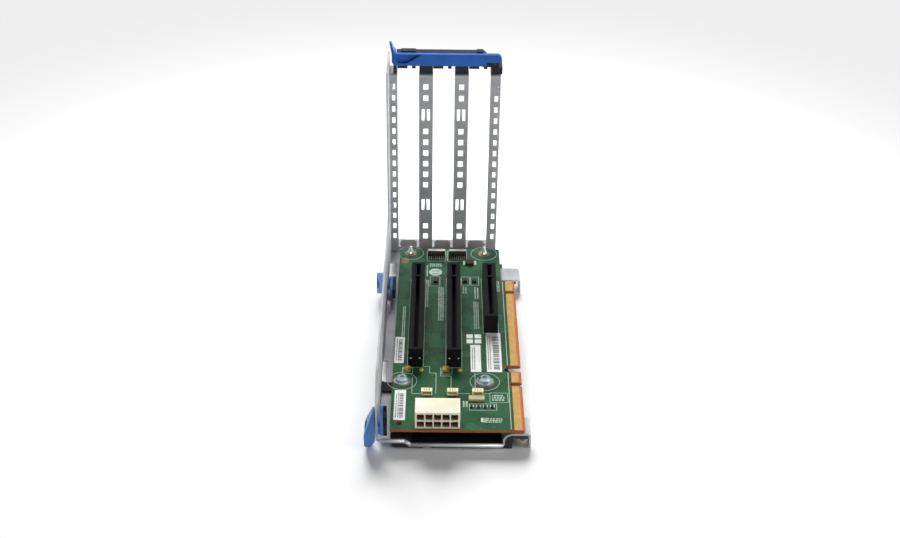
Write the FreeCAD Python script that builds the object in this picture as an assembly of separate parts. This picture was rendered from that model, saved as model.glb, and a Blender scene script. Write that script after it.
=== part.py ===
import FreeCAD, Part
import math
import os

# Riser cage for a rack server, lying on its board side.
# Working frame, in millimetres: +X runs to the board's contact edge, +Y to the bracket wall, +Z up.
# X is 0 on the middle card slot, Y is 0 at the rear end of the card slots, Z is 0 on the board's top.
# Every finished piece is moved once, so that the kept frame stands at the bottom centre of the part.

V = FreeCAD.Vector

# Sheet metal
SHEET = 1.0
BEND_IN = 0.8
BEND_OUT = BEND_IN + SHEET
EDGE_CORNER = 3.0

# Riser board
BOARD_T = 1.6
BOARD_LEFT = -31.9
BOARD_RIGHT = 27.4
BOARD_FRONT = -143.0
BOARD_REAR = 35.0
FINGER_TIP = 35.2
FINGER_REAR = -1.3
FINGER_BEVEL = 0.5
KEY_GAP_REAR = -87.8
KEY_GAP_FRONT = -92.8
KEY_GAP_IN = 26.6
KEY_NOTCH_W = 2.3
KEY_NOTCH_YS = (-13.9, -104.2)
KEY_NOTCH_IN = 27.5
BOARD_CORNER = 1.0

# Contact banks on the board's edge
CONTACT_IN = 29.9
CONTACT_MARGIN = 0.6
CONTACT_T = 0.06

# Cage base
WALL_IN = -37.7
WALL_OUT = WALL_IN - SHEET
BASE_FRONT = BOARD_FRONT - 1.0
WALL_FRONT = BASE_FRONT - 1.5
CAGE_REAR = 57.0
LEFT_TOP = -6.0
MIDDLE_TOP = -8.3
JOGGLE_X0 = -24.4
JOGGLE_X1 = -21.2
STEP_Y = 36.0
RIGHT_LEG = 24.3
RIGHT_LEG_TOP = -3.4
RAIL_TOP = 28.5
RAIL_NOSE_TOP = 19.0
RAIL_NOSE_LENGTH = 13.0
TALL_FRONT = 20.0
TALL_TOP = 119.0
TALL_CORNER = 8.0
REST_Z = -11.2

# Right feet of the cage base
FOOT_TOP = -2.3
FOOT_OUTS = (38.2, 39.3)
FOOT_ARCH = 5.0
FOOT_W = 13.4
FOOT_YS = (BASE_FRONT + 1.1, 3.6)
FOOT_CORNER = 1.0
FOOT_RELIEF = 1.0

# Windows along the cage base's long bend
BEND_WINDOWS = ((10.7, 18.3, 4.0), (-30.0, 16.0, 1.6), (-94.0, 19.5, 2.4), (BASE_FRONT + 3.4, 4.2, 1.6))
BEND_WINDOW_UP = 2.0

# Bracket wall
SLOT_PITCH = 20.32
WINDOW_W = 12.35
BAR_W = SLOT_PITCH - WINDOW_W
BAR_2_LEFT = -20.86
BAR_4_LEFT = BAR_2_LEFT + 2 * SLOT_PITCH
BAR_4_W = 5.82
WALL_FACE = 41.0
WALL_BACK = WALL_FACE + SHEET
WALL_RIGHT = BAR_4_LEFT + BAR_4_W
LEDGE_TOP = 110.3
LEDGE_REAR = 54.0
FLANGE_REAR = 54.0
FOOT_FLANGE_REAR = 55.5
STRIP_TOP = -2.2
TONGUE_TAB_W = 9.7
TONGUE_TAB_TOP = 2.7
TONGUE_TAB_CHAMFER = 1.3
HOLE_W = 2.95
HOLE_H = 3.75
HOLE_PITCH = 6.95
HOLE_Z0 = 5.45
HOLE_OFFSET = 3.9
LOW_HOLES = 2
LOW_SKIP = 3
MIDDLE_HOLES = 6
TOP_SKIP = 2
TOP_HOLES = 2
EDGE_BAR_HOLES = 14
SIDE_HOLE_W = 2.3
LEFT_HOLE_IN = 0.25
LEFT_HOLE_W = 2.0
NOTCH_DEPTH = 1.5
NOTCH_H = 1.7
SPRING_SLOT_H = 7.4
SPRING_SLOT_W = 4.8
SPRING_SLOT_ZS = (27.0, 85.4)
TONGUE_W_TOP = 1.0
TONGUE_W_BOTTOM = 1.5

# Rivets that join the two sheets
RIVET_R = 1.25
RIVET_HEAD_R = 2.1
RIVET_HEAD_H = 0.7
SIDE_RIVET_Y = 48.5
SIDE_RIVET_ZS = (22.0, 62.0, 100.0)
BASE_RIVET_Y = 50.0
BASE_RIVET_XS = (-31.0, -6.7, 18.0)

# Under-tray
TRAY_FRONT = BASE_FRONT + 0.8
TRAY_REAR = 30.0
TRAY_LEFT = -30.9
TRAY_LEFT_CORNER = 1.8
TRAY_RIGHT = 29.3
TRAY_RIGHT_SLOPE = 0.5
TRAY_GAP_X0 = -15.2
TRAY_GAP_X1 = -11.2
TRAY_GAP_DEPTH = 9.0
TRAY_CLEAR = 0.0
TRAY_ARM_RIGHT = 36.6
TRAY_ARM_T = 1.9
TRAY_RIVET_R = 1.6
TRAY_RIVET_HEAD_R = 3.0
TRAY_RIVET_HEAD_H = 0.9
TRAY_RIVET_XS = (-8.0, 12.0)
TRAY_RIVET_YS = (-125.0, -60.0, 10.0)

# Brass insert in the tray's front arm
INSERT_X = 34.2
INSERT_R = 1.6
INSERT_BORE_R = 0.8
INSERT_DROP = 1.5

# Support under the board's left edge
SUPPORT_FRONT = -104.2
SUPPORT_LENGTH = 7.4
SUPPORT_T = 1.4
SUPPORT_GAP = 0.3
SUPPORT_RIM = 0.8
SUPPORT_RIM_H = 0.7
SUPPORT_REACH = 1.5
SUPPORT_POST = 1.3

# Card slots
SLOT_W = 7.5
SLOT_H = 11.25
SLOT_XS = (-SLOT_PITCH, 0.0, SLOT_PITCH)
SLOT_LENGTHS = (89.0, 89.0, 56.0)
SLOT_END = -SLOT_LENGTHS[0]
SLOT_END_WALL = 1.9
SLOT_MOUTH_W = 1.8
SLOT_FUNNEL_W = 3.4
SLOT_FUNNEL_H = 0.8
SLOT_FLOOR = 3.35
CAVITY_W = 5.0
CAVITY_TOP = 9.2
KEY_Y = -14.5
KEY_W = 1.7
CONTACT_ROW_T = 0.6
CONTACT_ROW_TOP = 8.6

# Ten-way power socket
POWER_X0 = -19.4
POWER_W = 22.3
POWER_FRONT = BOARD_FRONT + 0.8
POWER_DEPTH = 12.2
POWER_H = 9.8
POWER_PITCH = 4.2
POWER_COLUMNS = 5
POWER_CELL_W = 3.5
POWER_CELL_H = 3.3
POWER_CELL_DEPTH = 9.5
POWER_ROW_ZS = (2.6, 6.9)
POWER_PIN = 1.1
POWER_PIN_LENGTH = 7.0

# Three small headers
HEADER_W = 5.7
HEADER_DEPTH = 3.0
HEADER_H = 2.6
HEADER_FROM_SLOTS = 25.3
HEADER_FRONT = SLOT_END - HEADER_FROM_SLOTS
HEADER_XS = (-13.95, -0.7, 12.15)
HEADER_PINS = 4
HEADER_PIN = 0.5
HEADER_CELL_W = 4.4
HEADER_CELL_H = 1.5

# Two fine-pitch parts near the rear edge
FINE_W = 10.2
FINE_DEPTH = 3.8
FINE_H = 4.0
FINE_FRONT = 24.3
FINE_XS = (-10.1, 2.5)
FINE_PINS = 8
FINE_PIN_W = 0.5
FINE_PIN_REACH = 1.9
FINE_STEP = 1.2

# Small parts on the board: centre x, centre y
CHIP_SIZE = (2.4, 2.4, 1.0)
CHIP_AT = ((-10.4, -2.7), (6.7, -2.3), (11.9, -2.2))
REGULATOR_SIZE = (4.4, 4.6, 1.6)
REGULATOR_AT = (9.6, 18.2)
RESISTOR_SIZE = (2.3, 1.6, 0.7)
RESISTOR_XS = (8.9, 12.1, 15.7, 19.2)
RESISTORS_FROM_SLOTS = 34.9
RESISTOR_Y = SLOT_END - RESISTORS_FROM_SLOTS
INDUCTOR_SIZE = (3.6, 3.6, 1.6)
INDUCTORS_FROM_SLOTS = 3.0
INDUCTOR_AT = ((-24.6, SLOT_END - INDUCTORS_FROM_SLOTS), (-4.1, SLOT_END - INDUCTORS_FROM_SLOTS))
RIBBON_SIZE = (8.0, 3.6, 1.3)
RIBBON_FROM_SLOTS = 28.4
RIBBON_AT = (11.5, SLOT_END - RIBBON_FROM_SLOTS)

# Board screws, washers and standoffs
SCREWS_FROM_SLOTS = 13.0
SCREW_AT = ((-26.9, SLOT_END - SCREWS_FROM_SLOTS), (16.0, SLOT_END - SCREWS_FROM_SLOTS))
SCREW_R = 1.5
SCREW_HOLE_R = 1.75
SCREW_HEAD_R = 3.2
SCREW_HEAD_H = 2.3
SCREW_LENGTH = 5.0
SCREW_DRIVE = 2.6
SCREW_DRIVE_DEPTH = 1.2
WASHER_R = 4.3
WASHER_T = 0.6
STANDOFF_R = 3.2

# Snap posts at the rear of the board
POST_AT = ((-25.6, BOARD_REAR - 5.2), (18.3, BOARD_REAR - 5.2))
POST_R = 2.6
POST_NECK_R = 1.3
POST_HOLE_R = 1.6
POST_HEAD_R = 1.8
POST_TIP_R = 0.5
POST_RISE = 0.5
POST_HEAD_H = 4.2
POST_SLIT = 0.8
CORNER_HOLE_AT = (-27.3, BOARD_FRONT + 5.2)
CORNER_HOLE_R = 1.5

# Bracket retainer
COVER_FRONT = 40.0
COVER_T = 2.8
COVER_BACK = COVER_FRONT + COVER_T
COVER_LEFT = -33.9
COVER_SHORT = 2.38
COVER_RIGHT = BAR_4_LEFT - COVER_SHORT
COVER_BOTTOM = 116.1
COVER_TOP = 123.0
RECESS_DEPTH = 2.0
RECESS_RIM = 1.4
RECESS_FOOT = -27.6
RECESS_HEAD = -19.4
DOT = 1.6
DOT_X = -5.0
DOT_Z = 120.9
DOT_H = 0.4
EAR_BACK = 48.0
EAR_TOP = 129.8
EAR_T = 1.4
EAR_LEAN = 1.2
EAR_TIP_BACK = 42.4
BEAM_BACK = 47.6
BEAM_BOTTOM = 115.0
BEAM_TOP = 123.1
BEAM_END_DROP = 1.6
FINGER_BOTTOM = 113.4
WIDE_FINGER = (0.1, 5.8)
NARROW_FINGER = (8.4, 10.4)
PAD_GAP = 0.3
PAD_SIDE = 0.2
LEFT_PAD_W = 1.9
HUMP_XS = ((-31.6, -22.2), (COVER_RIGHT - 6.2, COVER_RIGHT - 1.7))
HUMP_SLOPE = 0.9
HUMP_H = 0.5

# Retainer hinge
HINGE_IN = 2.22
HINGE_X = BAR_4_LEFT + HINGE_IN
HINGE_Z = 117.0
HINGE_R = 2.4
HINGE_RUN = 0.3
HINGE_PIN_R = 1.2
HINGE_FIT = 0.05
CHEEK_RIGHT = HINGE_X + 3.8
CHEEK_BOTTOM = 118.4
CHEEK_CORNER = 2.6
CHEEK_T = 2.0
EAR_PLATE = 2.6
BLOCK_LEFT = BAR_4_LEFT + 0.22
BLOCK_RIGHT = WALL_RIGHT + 0.8
BLOCK_H = 4.0
BLOCK_TOP = LEDGE_TOP + BLOCK_H
BLOCK_FRONT = COVER_BACK + HINGE_RUN
BLOCK_REAR = 53.0

# Half-turn latches: stud axis along X
FRONT_LATCH_Y = BASE_FRONT + 2.0
REAR_LATCH_Y = -5.8
LATCH_Z = 0.5
FRONT_LATCH_TURN = -90.0
REAR_LATCH_TURN = -15.0
LATCH_RUN = 0.3
STUD_R = 2.4
STUD_FIT = 0.06
STUD_HEAD_R = 3.3
STUD_HEAD_T = 1.3
HUB_R = 6.0
HANDLE_REACH = 11.3
HANDLE_BACK = 11.7
HANDLE_TIP_R = 4.0
HANDLE_BACK_R = 3.5
HANDLE_PROUD = 5.7
HANDLE_THIN = 0.7
HANDLE_LIFT = 3.0
HANDLE_FLAT = 5.2
HANDLE_WIDEST = 0.8
HANDLE_HUB_T = 3.3
HANDLE_ROUND = 1.2
CAM_BOSS_R = 3.6
CAM_BOSS_H = 1.0
CAM_T = 1.5
CAM_HUB_R = 4.2
CAM_REACH = 15.0
CAM_TIP_R = 3.8
CAM_TILT = 12.0
CLIP_PLATE_T = 0.7
CLIP_REACH = 13.0
CLIP_TAIL = 3.4
CLIP_WIDTH = 5.2
CLIP_RIM_T = 0.6
CLIP_RIM_H = 1.1

# The kept frame's origin: bottom centre of the whole part
PART_LEFT = WALL_OUT - HANDLE_PROUD
PART_RIGHT = max(FOOT_OUTS)
PART_FRONT = FRONT_LATCH_Y - HUB_R
ORIGIN = V((PART_LEFT + PART_RIGHT) / 2, (PART_FRONT + CAGE_REAR) / 2, REST_Z)

EPS = 0.01


def box(x0, x1, y0, y1, z0, z1):
    """A block between two corners."""
    return Part.makeBox(x1 - x0, y1 - y0, z1 - z0, V(x0, y0, z0))


def block(centre, size, z0=0.0):
    """A block of a stated size that stands on the board."""
    width, depth, height = size
    x, y = centre
    return box(x - width / 2, x + width / 2, y - depth / 2, y + depth / 2, z0, z0 + height)


def rod(radius, start, direction, length):
    """A cylinder from a point along a direction."""
    return Part.makeCylinder(radius, length, start, direction)


def fuse(shapes):
    """Several overlapping or touching shapes as one clean solid."""
    return shapes[0].fuse(shapes[1:]).removeSplitter()


def in_plane(plane, point, at):
    """A 2D point of a named plane as a point in space."""
    a, b = point
    if plane == "xz":
        return V(a, at, b)
    if plane == "yz":
        return V(at, a, b)
    return V(a, b, at)


def corner(before, here, after, radius):
    """Where a round corner starts, passes its middle and ends."""
    back = (FreeCAD.Vector(*before, 0) - FreeCAD.Vector(*here, 0)).normalize()
    on = (FreeCAD.Vector(*after, 0) - FreeCAD.Vector(*here, 0)).normalize()
    half = back.getAngle(on) / 2
    reach = radius / math.tan(half)
    start = V(*here, 0) + back * reach
    end = V(*here, 0) + on * reach
    middle_line = (back + on).normalize()
    middle = V(*here, 0) + middle_line * (radius / math.sin(half) - radius)
    return (start.x, start.y), (middle.x, middle.y), (end.x, end.y)


def outline(points, radii, plane, at):
    """A closed outline of straight lines, with an arc at each corner that has a radius."""
    count = len(points)
    edges = []
    ends = []
    for i in range(count):
        radius = radii.get(i, 0)
        if radius > 0:
            ends.append(corner(points[i - 1], points[i], points[(i + 1) % count], radius))
        else:
            ends.append((points[i], None, points[i]))
    for i in range(count):
        start, middle, end = ends[i]
        if middle:
            arc_points = [in_plane(plane, p, at) for p in (start, middle, end)]
            edges.append(Part.Arc(*arc_points).toShape())
        leave = in_plane(plane, end, at)
        arrive = in_plane(plane, ends[(i + 1) % count][0], at)
        if leave.distanceToPoint(arrive) > EPS / 10:
            edges.append(Part.LineSegment(leave, arrive).toShape())
    return Part.Wire(edges)


def plate(points, plane, low, high, radii=None):
    """An outline made solid between two levels along the plane's normal."""
    face = Part.Face(outline(points, radii or {}, plane, low))
    normal = {"xz": V(0, 1, 0), "yz": V(1, 0, 0), "xy": V(0, 0, 1)}[plane]
    return face.extrude(normal * (high - low))


def shifted_line(a, b, distance):
    """A line through two points, moved to its right-hand side."""
    length = math.hypot(b[0] - a[0], b[1] - a[1])
    nx = (b[1] - a[1]) / length
    ny = -(b[0] - a[0]) / length
    return (a[0] + nx * distance, a[1] + ny * distance), (b[0] + nx * distance, b[1] + ny * distance)


def crossing(first, second):
    """Where two lines meet."""
    (x1, y1), (x2, y2) = first
    (x3, y3), (x4, y4) = second
    d = (x1 - x2) * (y3 - y4) - (y1 - y2) * (x3 - x4)
    p = x1 * y2 - y1 * x2
    q = x3 * y4 - y3 * x4
    return (p * (x3 - x4) - (x1 - x2) * q) / d, (p * (y3 - y4) - (y1 - y2) * q) / d


def folded(points, radii, plane, low, high, thickness=SHEET):
    """A folded sheet: its one face follows the points, its thickness lies to their right."""
    count = len(points)
    lines = [shifted_line(points[i], points[i + 1], thickness) for i in range(count - 1)]
    other = [lines[0][0]]
    other += [crossing(lines[i], lines[i + 1]) for i in range(count - 2)]
    other.append(lines[-1][1])
    both = list(points) + other[::-1]
    both_radii = {}
    for i in range(1, count - 1):
        radius = radii[i - 1]
        ax, ay = points[i][0] - points[i - 1][0], points[i][1] - points[i - 1][1]
        bx, by = points[i + 1][0] - points[i][0], points[i + 1][1] - points[i][1]
        left_turn = ax * by - ay * bx > 0
        both_radii[i] = radius
        both_radii[2 * count - 1 - i] = radius + thickness if left_turn else radius - thickness
    return plate(both, plane, low, high, both_radii)


def bar_ranges():
    """Where the four bars of the bracket wall start and end along X."""
    left_1 = BAR_2_LEFT - WINDOW_W
    middle = [(BAR_2_LEFT + i * SLOT_PITCH, BAR_2_LEFT + i * SLOT_PITCH + BAR_W) for i in range(2)]
    left_4 = middle[1][1] + WINDOW_W
    return [(WALL_IN, left_1)] + middle + [(left_4, WALL_RIGHT)]


def window_ranges():
    """Where the three card windows start and end along X."""
    bars = bar_ranges()
    return [(bars[i][1], bars[i + 1][0]) for i in range(3)]


def sheet_under(x):
    """Height of the cage base's underside beneath a point of the board."""
    if x < JOGGLE_X0:
        return LEFT_TOP - SHEET
    return MIDDLE_TOP - SHEET


def sheet_top(x):
    """Height of the cage base's upper face beneath a point of the board."""
    return sheet_under(x) + SHEET


def cage_base():
    """Base plate with joggles, low rail, tall rear flange and two right feet, folded from one sheet."""
    profile = [(WALL_IN, RAIL_NOSE_TOP - EDGE_CORNER), (WALL_IN, LEFT_TOP), (JOGGLE_X0, LEFT_TOP),
               (JOGGLE_X1, MIDDLE_TOP), (RIGHT_LEG, MIDDLE_TOP), (RIGHT_LEG, FOOT_TOP - FOOT_ARCH)]
    bends = [BEND_IN, BEND_OUT, BEND_IN, BEND_IN]
    trough = folded(profile, bends, "xz", BASE_FRONT, STEP_Y)
    rear_profile = [(WALL_IN, RAIL_NOSE_TOP - EDGE_CORNER), (WALL_IN, LEFT_TOP), (WALL_RIGHT, LEFT_TOP)]
    rear = folded(rear_profile, [BEND_IN], "xz", STEP_Y - SHEET, CAGE_REAR)
    step = box(JOGGLE_X0, RIGHT_LEG + SHEET, STEP_Y - SHEET, STEP_Y, MIDDLE_TOP - SHEET, LEFT_TOP)
    pieces = [trough, rear, step, side_wall()]
    legs = ((FOOT_YS[0] + FOOT_W, FOOT_YS[1]), (FOOT_YS[1] + FOOT_W, STEP_Y))
    for y0, y1 in legs:
        pieces.append(box(RIGHT_LEG, RIGHT_LEG + SHEET, y0 + FOOT_RELIEF, y1 - FOOT_RELIEF,
                          MIDDLE_TOP, RIGHT_LEG_TOP))
    pieces += [right_foot(y, out) for y, out in zip(FOOT_YS, FOOT_OUTS)]
    body = fuse(pieces)
    for start, length, width in BEND_WINDOWS:
        body = body.cut(box(WALL_OUT - SHEET, WALL_IN + width, start, start + length,
                            LEFT_TOP - 2 * SHEET, LEFT_TOP + BEND_WINDOW_UP))
    for y in (FRONT_LATCH_Y, REAR_LATCH_Y):
        body = body.cut(rod(STUD_R + STUD_FIT, V(WALL_OUT - 1, y, LATCH_Z), V(1, 0, 0), SHEET + 2))
    return body.cut(Part.makeCompound(rivet_shanks() + tray_rivet_shanks()))


def side_wall():
    """The left wall: a low rail with a sloping nose and a tall flange at the rear."""
    points = [(WALL_FRONT, LEFT_TOP - SHEET + BEND_OUT), (BASE_FRONT + BEND_OUT, LEFT_TOP - SHEET + BEND_OUT),
              (CAGE_REAR, LEFT_TOP - SHEET + BEND_OUT), (CAGE_REAR, TALL_TOP), (TALL_FRONT, TALL_TOP),
              (TALL_FRONT, RAIL_TOP), (WALL_FRONT + RAIL_NOSE_LENGTH, RAIL_TOP),
              (WALL_FRONT, RAIL_NOSE_TOP)]
    radii = {3: EDGE_CORNER, 4: EDGE_CORNER, 5: TALL_CORNER, 6: TALL_CORNER, 7: EDGE_CORNER}
    return plate(points, "yz", WALL_OUT, WALL_IN, radii)


def right_foot(y, out):
    """A tab that arches up beside the board's contact edge and turns down as a foot."""
    path = [(RIGHT_LEG, MIDDLE_TOP), (RIGHT_LEG, FOOT_TOP), (out, FOOT_TOP), (out, REST_Z)]
    tab = folded(path, [FOOT_ARCH, BEND_OUT], "xz", y, y + FOOT_W)
    corners = [(y, REST_Z), (y, FOOT_TOP), (y + FOOT_W, FOOT_TOP), (y + FOOT_W, REST_Z)]
    side = plate(corners, "yz", RIGHT_LEG, out, {0: FOOT_CORNER, 3: FOOT_CORNER})
    return tab.common(side)


def slot_wall():
    """Four perforated bars with ledge tabs on top, tongue tabs below and flanges behind."""
    ledge_path = [(WALL_FACE, STRIP_TOP), (WALL_FACE, LEDGE_TOP), (LEDGE_REAR, LEDGE_TOP)]
    pieces = [folded(ledge_path, [BEND_OUT], "yz", x0, x1) for x0, x1 in bar_ranges()]
    foot_path = [(FOOT_FLANGE_REAR, LEFT_TOP), (WALL_FACE, LEFT_TOP), (WALL_FACE, STRIP_TOP)]
    pieces.append(folded(foot_path, [BEND_OUT], "yz", WALL_IN, WALL_RIGHT))
    for x0 in (WALL_IN, WALL_RIGHT - SHEET):
        pieces.append(box(x0, x0 + SHEET, WALL_FACE + BEND_OUT, FLANGE_REAR, LEFT_TOP, LEDGE_TOP))
        pieces.append(box(x0, x0 + SHEET, WALL_FACE, WALL_FACE + BEND_OUT, STRIP_TOP,
                          LEDGE_TOP - BEND_OUT))
    for x0, x1 in window_ranges():
        centre = (x0 + x1) / 2
        half = TONGUE_TAB_W / 2
        chamfer = TONGUE_TAB_CHAMFER
        tab = [(centre - half, STRIP_TOP), (centre - half, TONGUE_TAB_TOP - chamfer),
               (centre - half + chamfer, TONGUE_TAB_TOP), (centre + half - chamfer, TONGUE_TAB_TOP),
               (centre + half, TONGUE_TAB_TOP - chamfer), (centre + half, STRIP_TOP)]
        pieces.append(plate(tab, "xz", WALL_FACE, WALL_BACK))
    corner_trim = plate([(WALL_IN, LEFT_TOP), (WALL_IN, LEFT_TOP + BEND_IN), (WALL_IN + BEND_IN, LEFT_TOP)],
                        "xz", WALL_FACE, FOOT_FLANGE_REAR)
    body = fuse(pieces).cut(corner_trim)
    body = body.cut(Part.makeCompound(wall_holes()))
    return body.cut(Part.makeCompound(rivet_shanks()))


def hole_z(k):
    """Height of the centre of a numbered place in the hole pattern."""
    return HOLE_Z0 + k * HOLE_PITCH


def middle_rows():
    """Numbers of the hole rows on a middle bar, which skip the rows beside the twin slots."""
    middle_start = LOW_HOLES + LOW_SKIP
    top_start = middle_start + MIDDLE_HOLES + TOP_SKIP
    rows = list(range(LOW_HOLES))
    rows += range(middle_start, middle_start + MIDDLE_HOLES)
    rows += range(top_start, top_start + TOP_HOLES)
    return rows


def wall_holes():
    """Cutters for the square holes, the edge notch and the twin slots of the bars."""
    bars = bar_ranges()
    depth = (WALL_FACE - 1, WALL_BACK + EPS)
    cutters = []
    for x0, _ in bars[1:3]:
        x = x0 + HOLE_OFFSET
        for k in middle_rows():
            z = hole_z(k)
            cutters.append(box(x - HOLE_W / 2, x + HOLE_W / 2, *depth, z - HOLE_H / 2, z + HOLE_H / 2))
        for z in SPRING_SLOT_ZS:
            cutters += spring_slots(x, z, depth)
    left = bars[0][0] + SHEET + LEFT_HOLE_IN
    right = bars[3][1] - SHEET
    for k in range(EDGE_BAR_HOLES + 1):
        z = hole_z(k)
        cutters.append(box(left, left + LEFT_HOLE_W, *depth, z - HOLE_H / 2, z + HOLE_H / 2))
    for k in range(EDGE_BAR_HOLES):
        z = hole_z(k)
        cutters.append(box(right - SIDE_HOLE_W, right, *depth, z - HOLE_H / 2, z + HOLE_H / 2))
    z = hole_z(EDGE_BAR_HOLES)
    cutters.append(box(bars[3][1] - NOTCH_DEPTH, bars[3][1] + 1, WALL_FACE - 1, FLANGE_REAR + 1,
                       z - NOTCH_H / 2, z + NOTCH_H / 2))
    return cutters


def spring_slots(x, z, depth):
    """Two upright slots with a tapered tongue left between them."""
    low = z - SPRING_SLOT_H / 2
    high = z + SPRING_SLOT_H / 2
    cutters = []
    for side in (-1, 1):
        outer = x + side * SPRING_SLOT_W / 2
        points = [(outer, low), (x + side * TONGUE_W_BOTTOM / 2, low),
                  (x + side * TONGUE_W_TOP / 2, high), (outer, high)]
        cutters.append(plate(points, "xz", *depth))
    return cutters


def rivet_shanks():
    """The shanks of the rivets, which also cut their holes in both sheets."""
    shanks = []
    for z in SIDE_RIVET_ZS:
        shanks.append(rod(RIVET_R, V(WALL_OUT, SIDE_RIVET_Y, z), V(1, 0, 0), 2 * SHEET))
    for x in BASE_RIVET_XS:
        shanks.append(rod(RIVET_R, V(x, BASE_RIVET_Y, LEFT_TOP - SHEET), V(0, 0, 1), 2 * SHEET))
    return shanks


def wall_rivets():
    """Rivets flush outside, with a low domed head inside the cage."""
    rivets = []
    inner_faces = [(V(WALL_IN + SHEET, SIDE_RIVET_Y, z), V(1, 0, 0)) for z in SIDE_RIVET_ZS]
    inner_faces += [(V(x, BASE_RIVET_Y, LEFT_TOP + SHEET), V(0, 0, 1)) for x in BASE_RIVET_XS]
    for shank, (seat, axis) in zip(rivet_shanks(), inner_faces):
        head = Part.makeCone(RIVET_HEAD_R, RIVET_HEAD_R * 0.6, RIVET_HEAD_H, seat, axis)
        rivets.append(fuse([shank, head]))
    return Part.makeCompound(rivets)


def under_tray():
    """Moulded tray under the base plate: left block, thin floor, right rail and two arms."""
    floor_top = MIDDLE_TOP - SHEET
    left_top = LEFT_TOP - SHEET
    slope = (left_top - floor_top) / (JOGGLE_X1 - JOGGLE_X0)
    shift = SHEET * (math.hypot(1, slope) - 1) / slope
    section = [(TRAY_LEFT, REST_Z), (TRAY_LEFT, left_top), (JOGGLE_X0 - shift, left_top),
               (JOGGLE_X1 - shift, floor_top), (RIGHT_LEG + SHEET, floor_top),
               (RIGHT_LEG + SHEET, FOOT_TOP - FOOT_ARCH), (TRAY_RIGHT, FOOT_TOP - FOOT_ARCH),
               (TRAY_RIGHT - TRAY_RIGHT_SLOPE, REST_Z)]
    tray = plate(section, "xz", TRAY_FRONT, TRAY_REAR, {0: TRAY_LEFT_CORNER})
    arch = FOOT_ARCH - SHEET
    pieces = [tray]
    for y in FOOT_YS:
        arm_top = FOOT_TOP - SHEET
        arm = [(RIGHT_LEG + SHEET, FOOT_TOP - FOOT_ARCH), (RIGHT_LEG + SHEET, arm_top),
               (TRAY_ARM_RIGHT, arm_top), (TRAY_ARM_RIGHT, arm_top - TRAY_ARM_T),
               (TRAY_RIGHT, arm_top - TRAY_ARM_T), (TRAY_RIGHT, FOOT_TOP - FOOT_ARCH)]
        pieces.append(plate(arm, "xz", y, y + FOOT_W, {1: arch}))
    body = fuse(pieces)
    body = body.cut(box(TRAY_GAP_X0, TRAY_GAP_X1, TRAY_FRONT - 1, TRAY_FRONT + TRAY_GAP_DEPTH,
                        REST_Z - 1, floor_top + 1))
    cutters = tray_rivet_shanks() + tray_rivet_heads()
    cutters.append(rod(INSERT_R, V(INSERT_X, insert_y(), REST_Z), V(0, 0, 1), FOOT_TOP - SHEET - REST_Z))
    return body.cut(Part.makeCompound(cutters)).cut(cage_base())


def tray_rivet_places():
    """Where the tray's push rivets stand."""
    return [(x, y) for x in TRAY_RIVET_XS for y in TRAY_RIVET_YS]


def tray_rivet_shanks():
    """Shanks of the push rivets, through the tray and the base plate."""
    length = MIDDLE_TOP - REST_Z
    return [rod(TRAY_RIVET_R, V(x, y, REST_Z), V(0, 0, 1), length) for x, y in tray_rivet_places()]


def tray_rivet_heads():
    """Heads of the push rivets, sunk into the tray's underside."""
    return [rod(TRAY_RIVET_HEAD_R, V(x, y, REST_Z), V(0, 0, 1), TRAY_RIVET_HEAD_H)
            for x, y in tray_rivet_places()]


def tray_rivets():
    """Black push rivets with a flat head below and a short barb above the sheet."""
    rivets = []
    for (x, y), shank, head in zip(tray_rivet_places(), tray_rivet_shanks(), tray_rivet_heads()):
        barb = Part.makeCone(TRAY_RIVET_R * 1.25, TRAY_RIVET_R * 0.6, 1.2, V(x, y, MIDDLE_TOP))
        rivets.append(fuse([shank, head, barb]))
    return Part.makeCompound(rivets)


def insert_y():
    """The insert stands just behind the front face of the tray's front arm."""
    return FOOT_YS[0] + INSERT_R + 0.4


def tab_insert():
    """Brass insert with a blind tapped bore, open below."""
    top = FOOT_TOP - SHEET
    bottom = top - TRAY_ARM_T - INSERT_DROP
    body = rod(INSERT_R, V(INSERT_X, insert_y(), bottom), V(0, 0, 1), top - bottom)
    bore = rod(INSERT_BORE_R, V(INSERT_X, insert_y(), bottom), V(0, 0, 1), top - bottom - 0.6)
    return body.cut(bore)


def board_support():
    """Black moulding on the base plate: a flat foot beside the wall and a post under the board's edge."""
    left = WALL_IN + SUPPORT_GAP
    right = BOARD_LEFT + SUPPORT_REACH
    foot_top = LEFT_TOP + SUPPORT_T
    points = [(left + BEND_IN, LEFT_TOP), (left, LEFT_TOP + BEND_IN), (left, foot_top + SUPPORT_RIM_H),
              (left + SUPPORT_RIM, foot_top + SUPPORT_RIM_H), (left + SUPPORT_RIM, foot_top),
              (right - SUPPORT_POST, foot_top), (right - SUPPORT_POST, -BOARD_T), (right, -BOARD_T),
              (right, LEFT_TOP)]
    return plate(points, "xz", SUPPORT_FRONT, SUPPORT_FRONT + SUPPORT_LENGTH)


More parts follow.
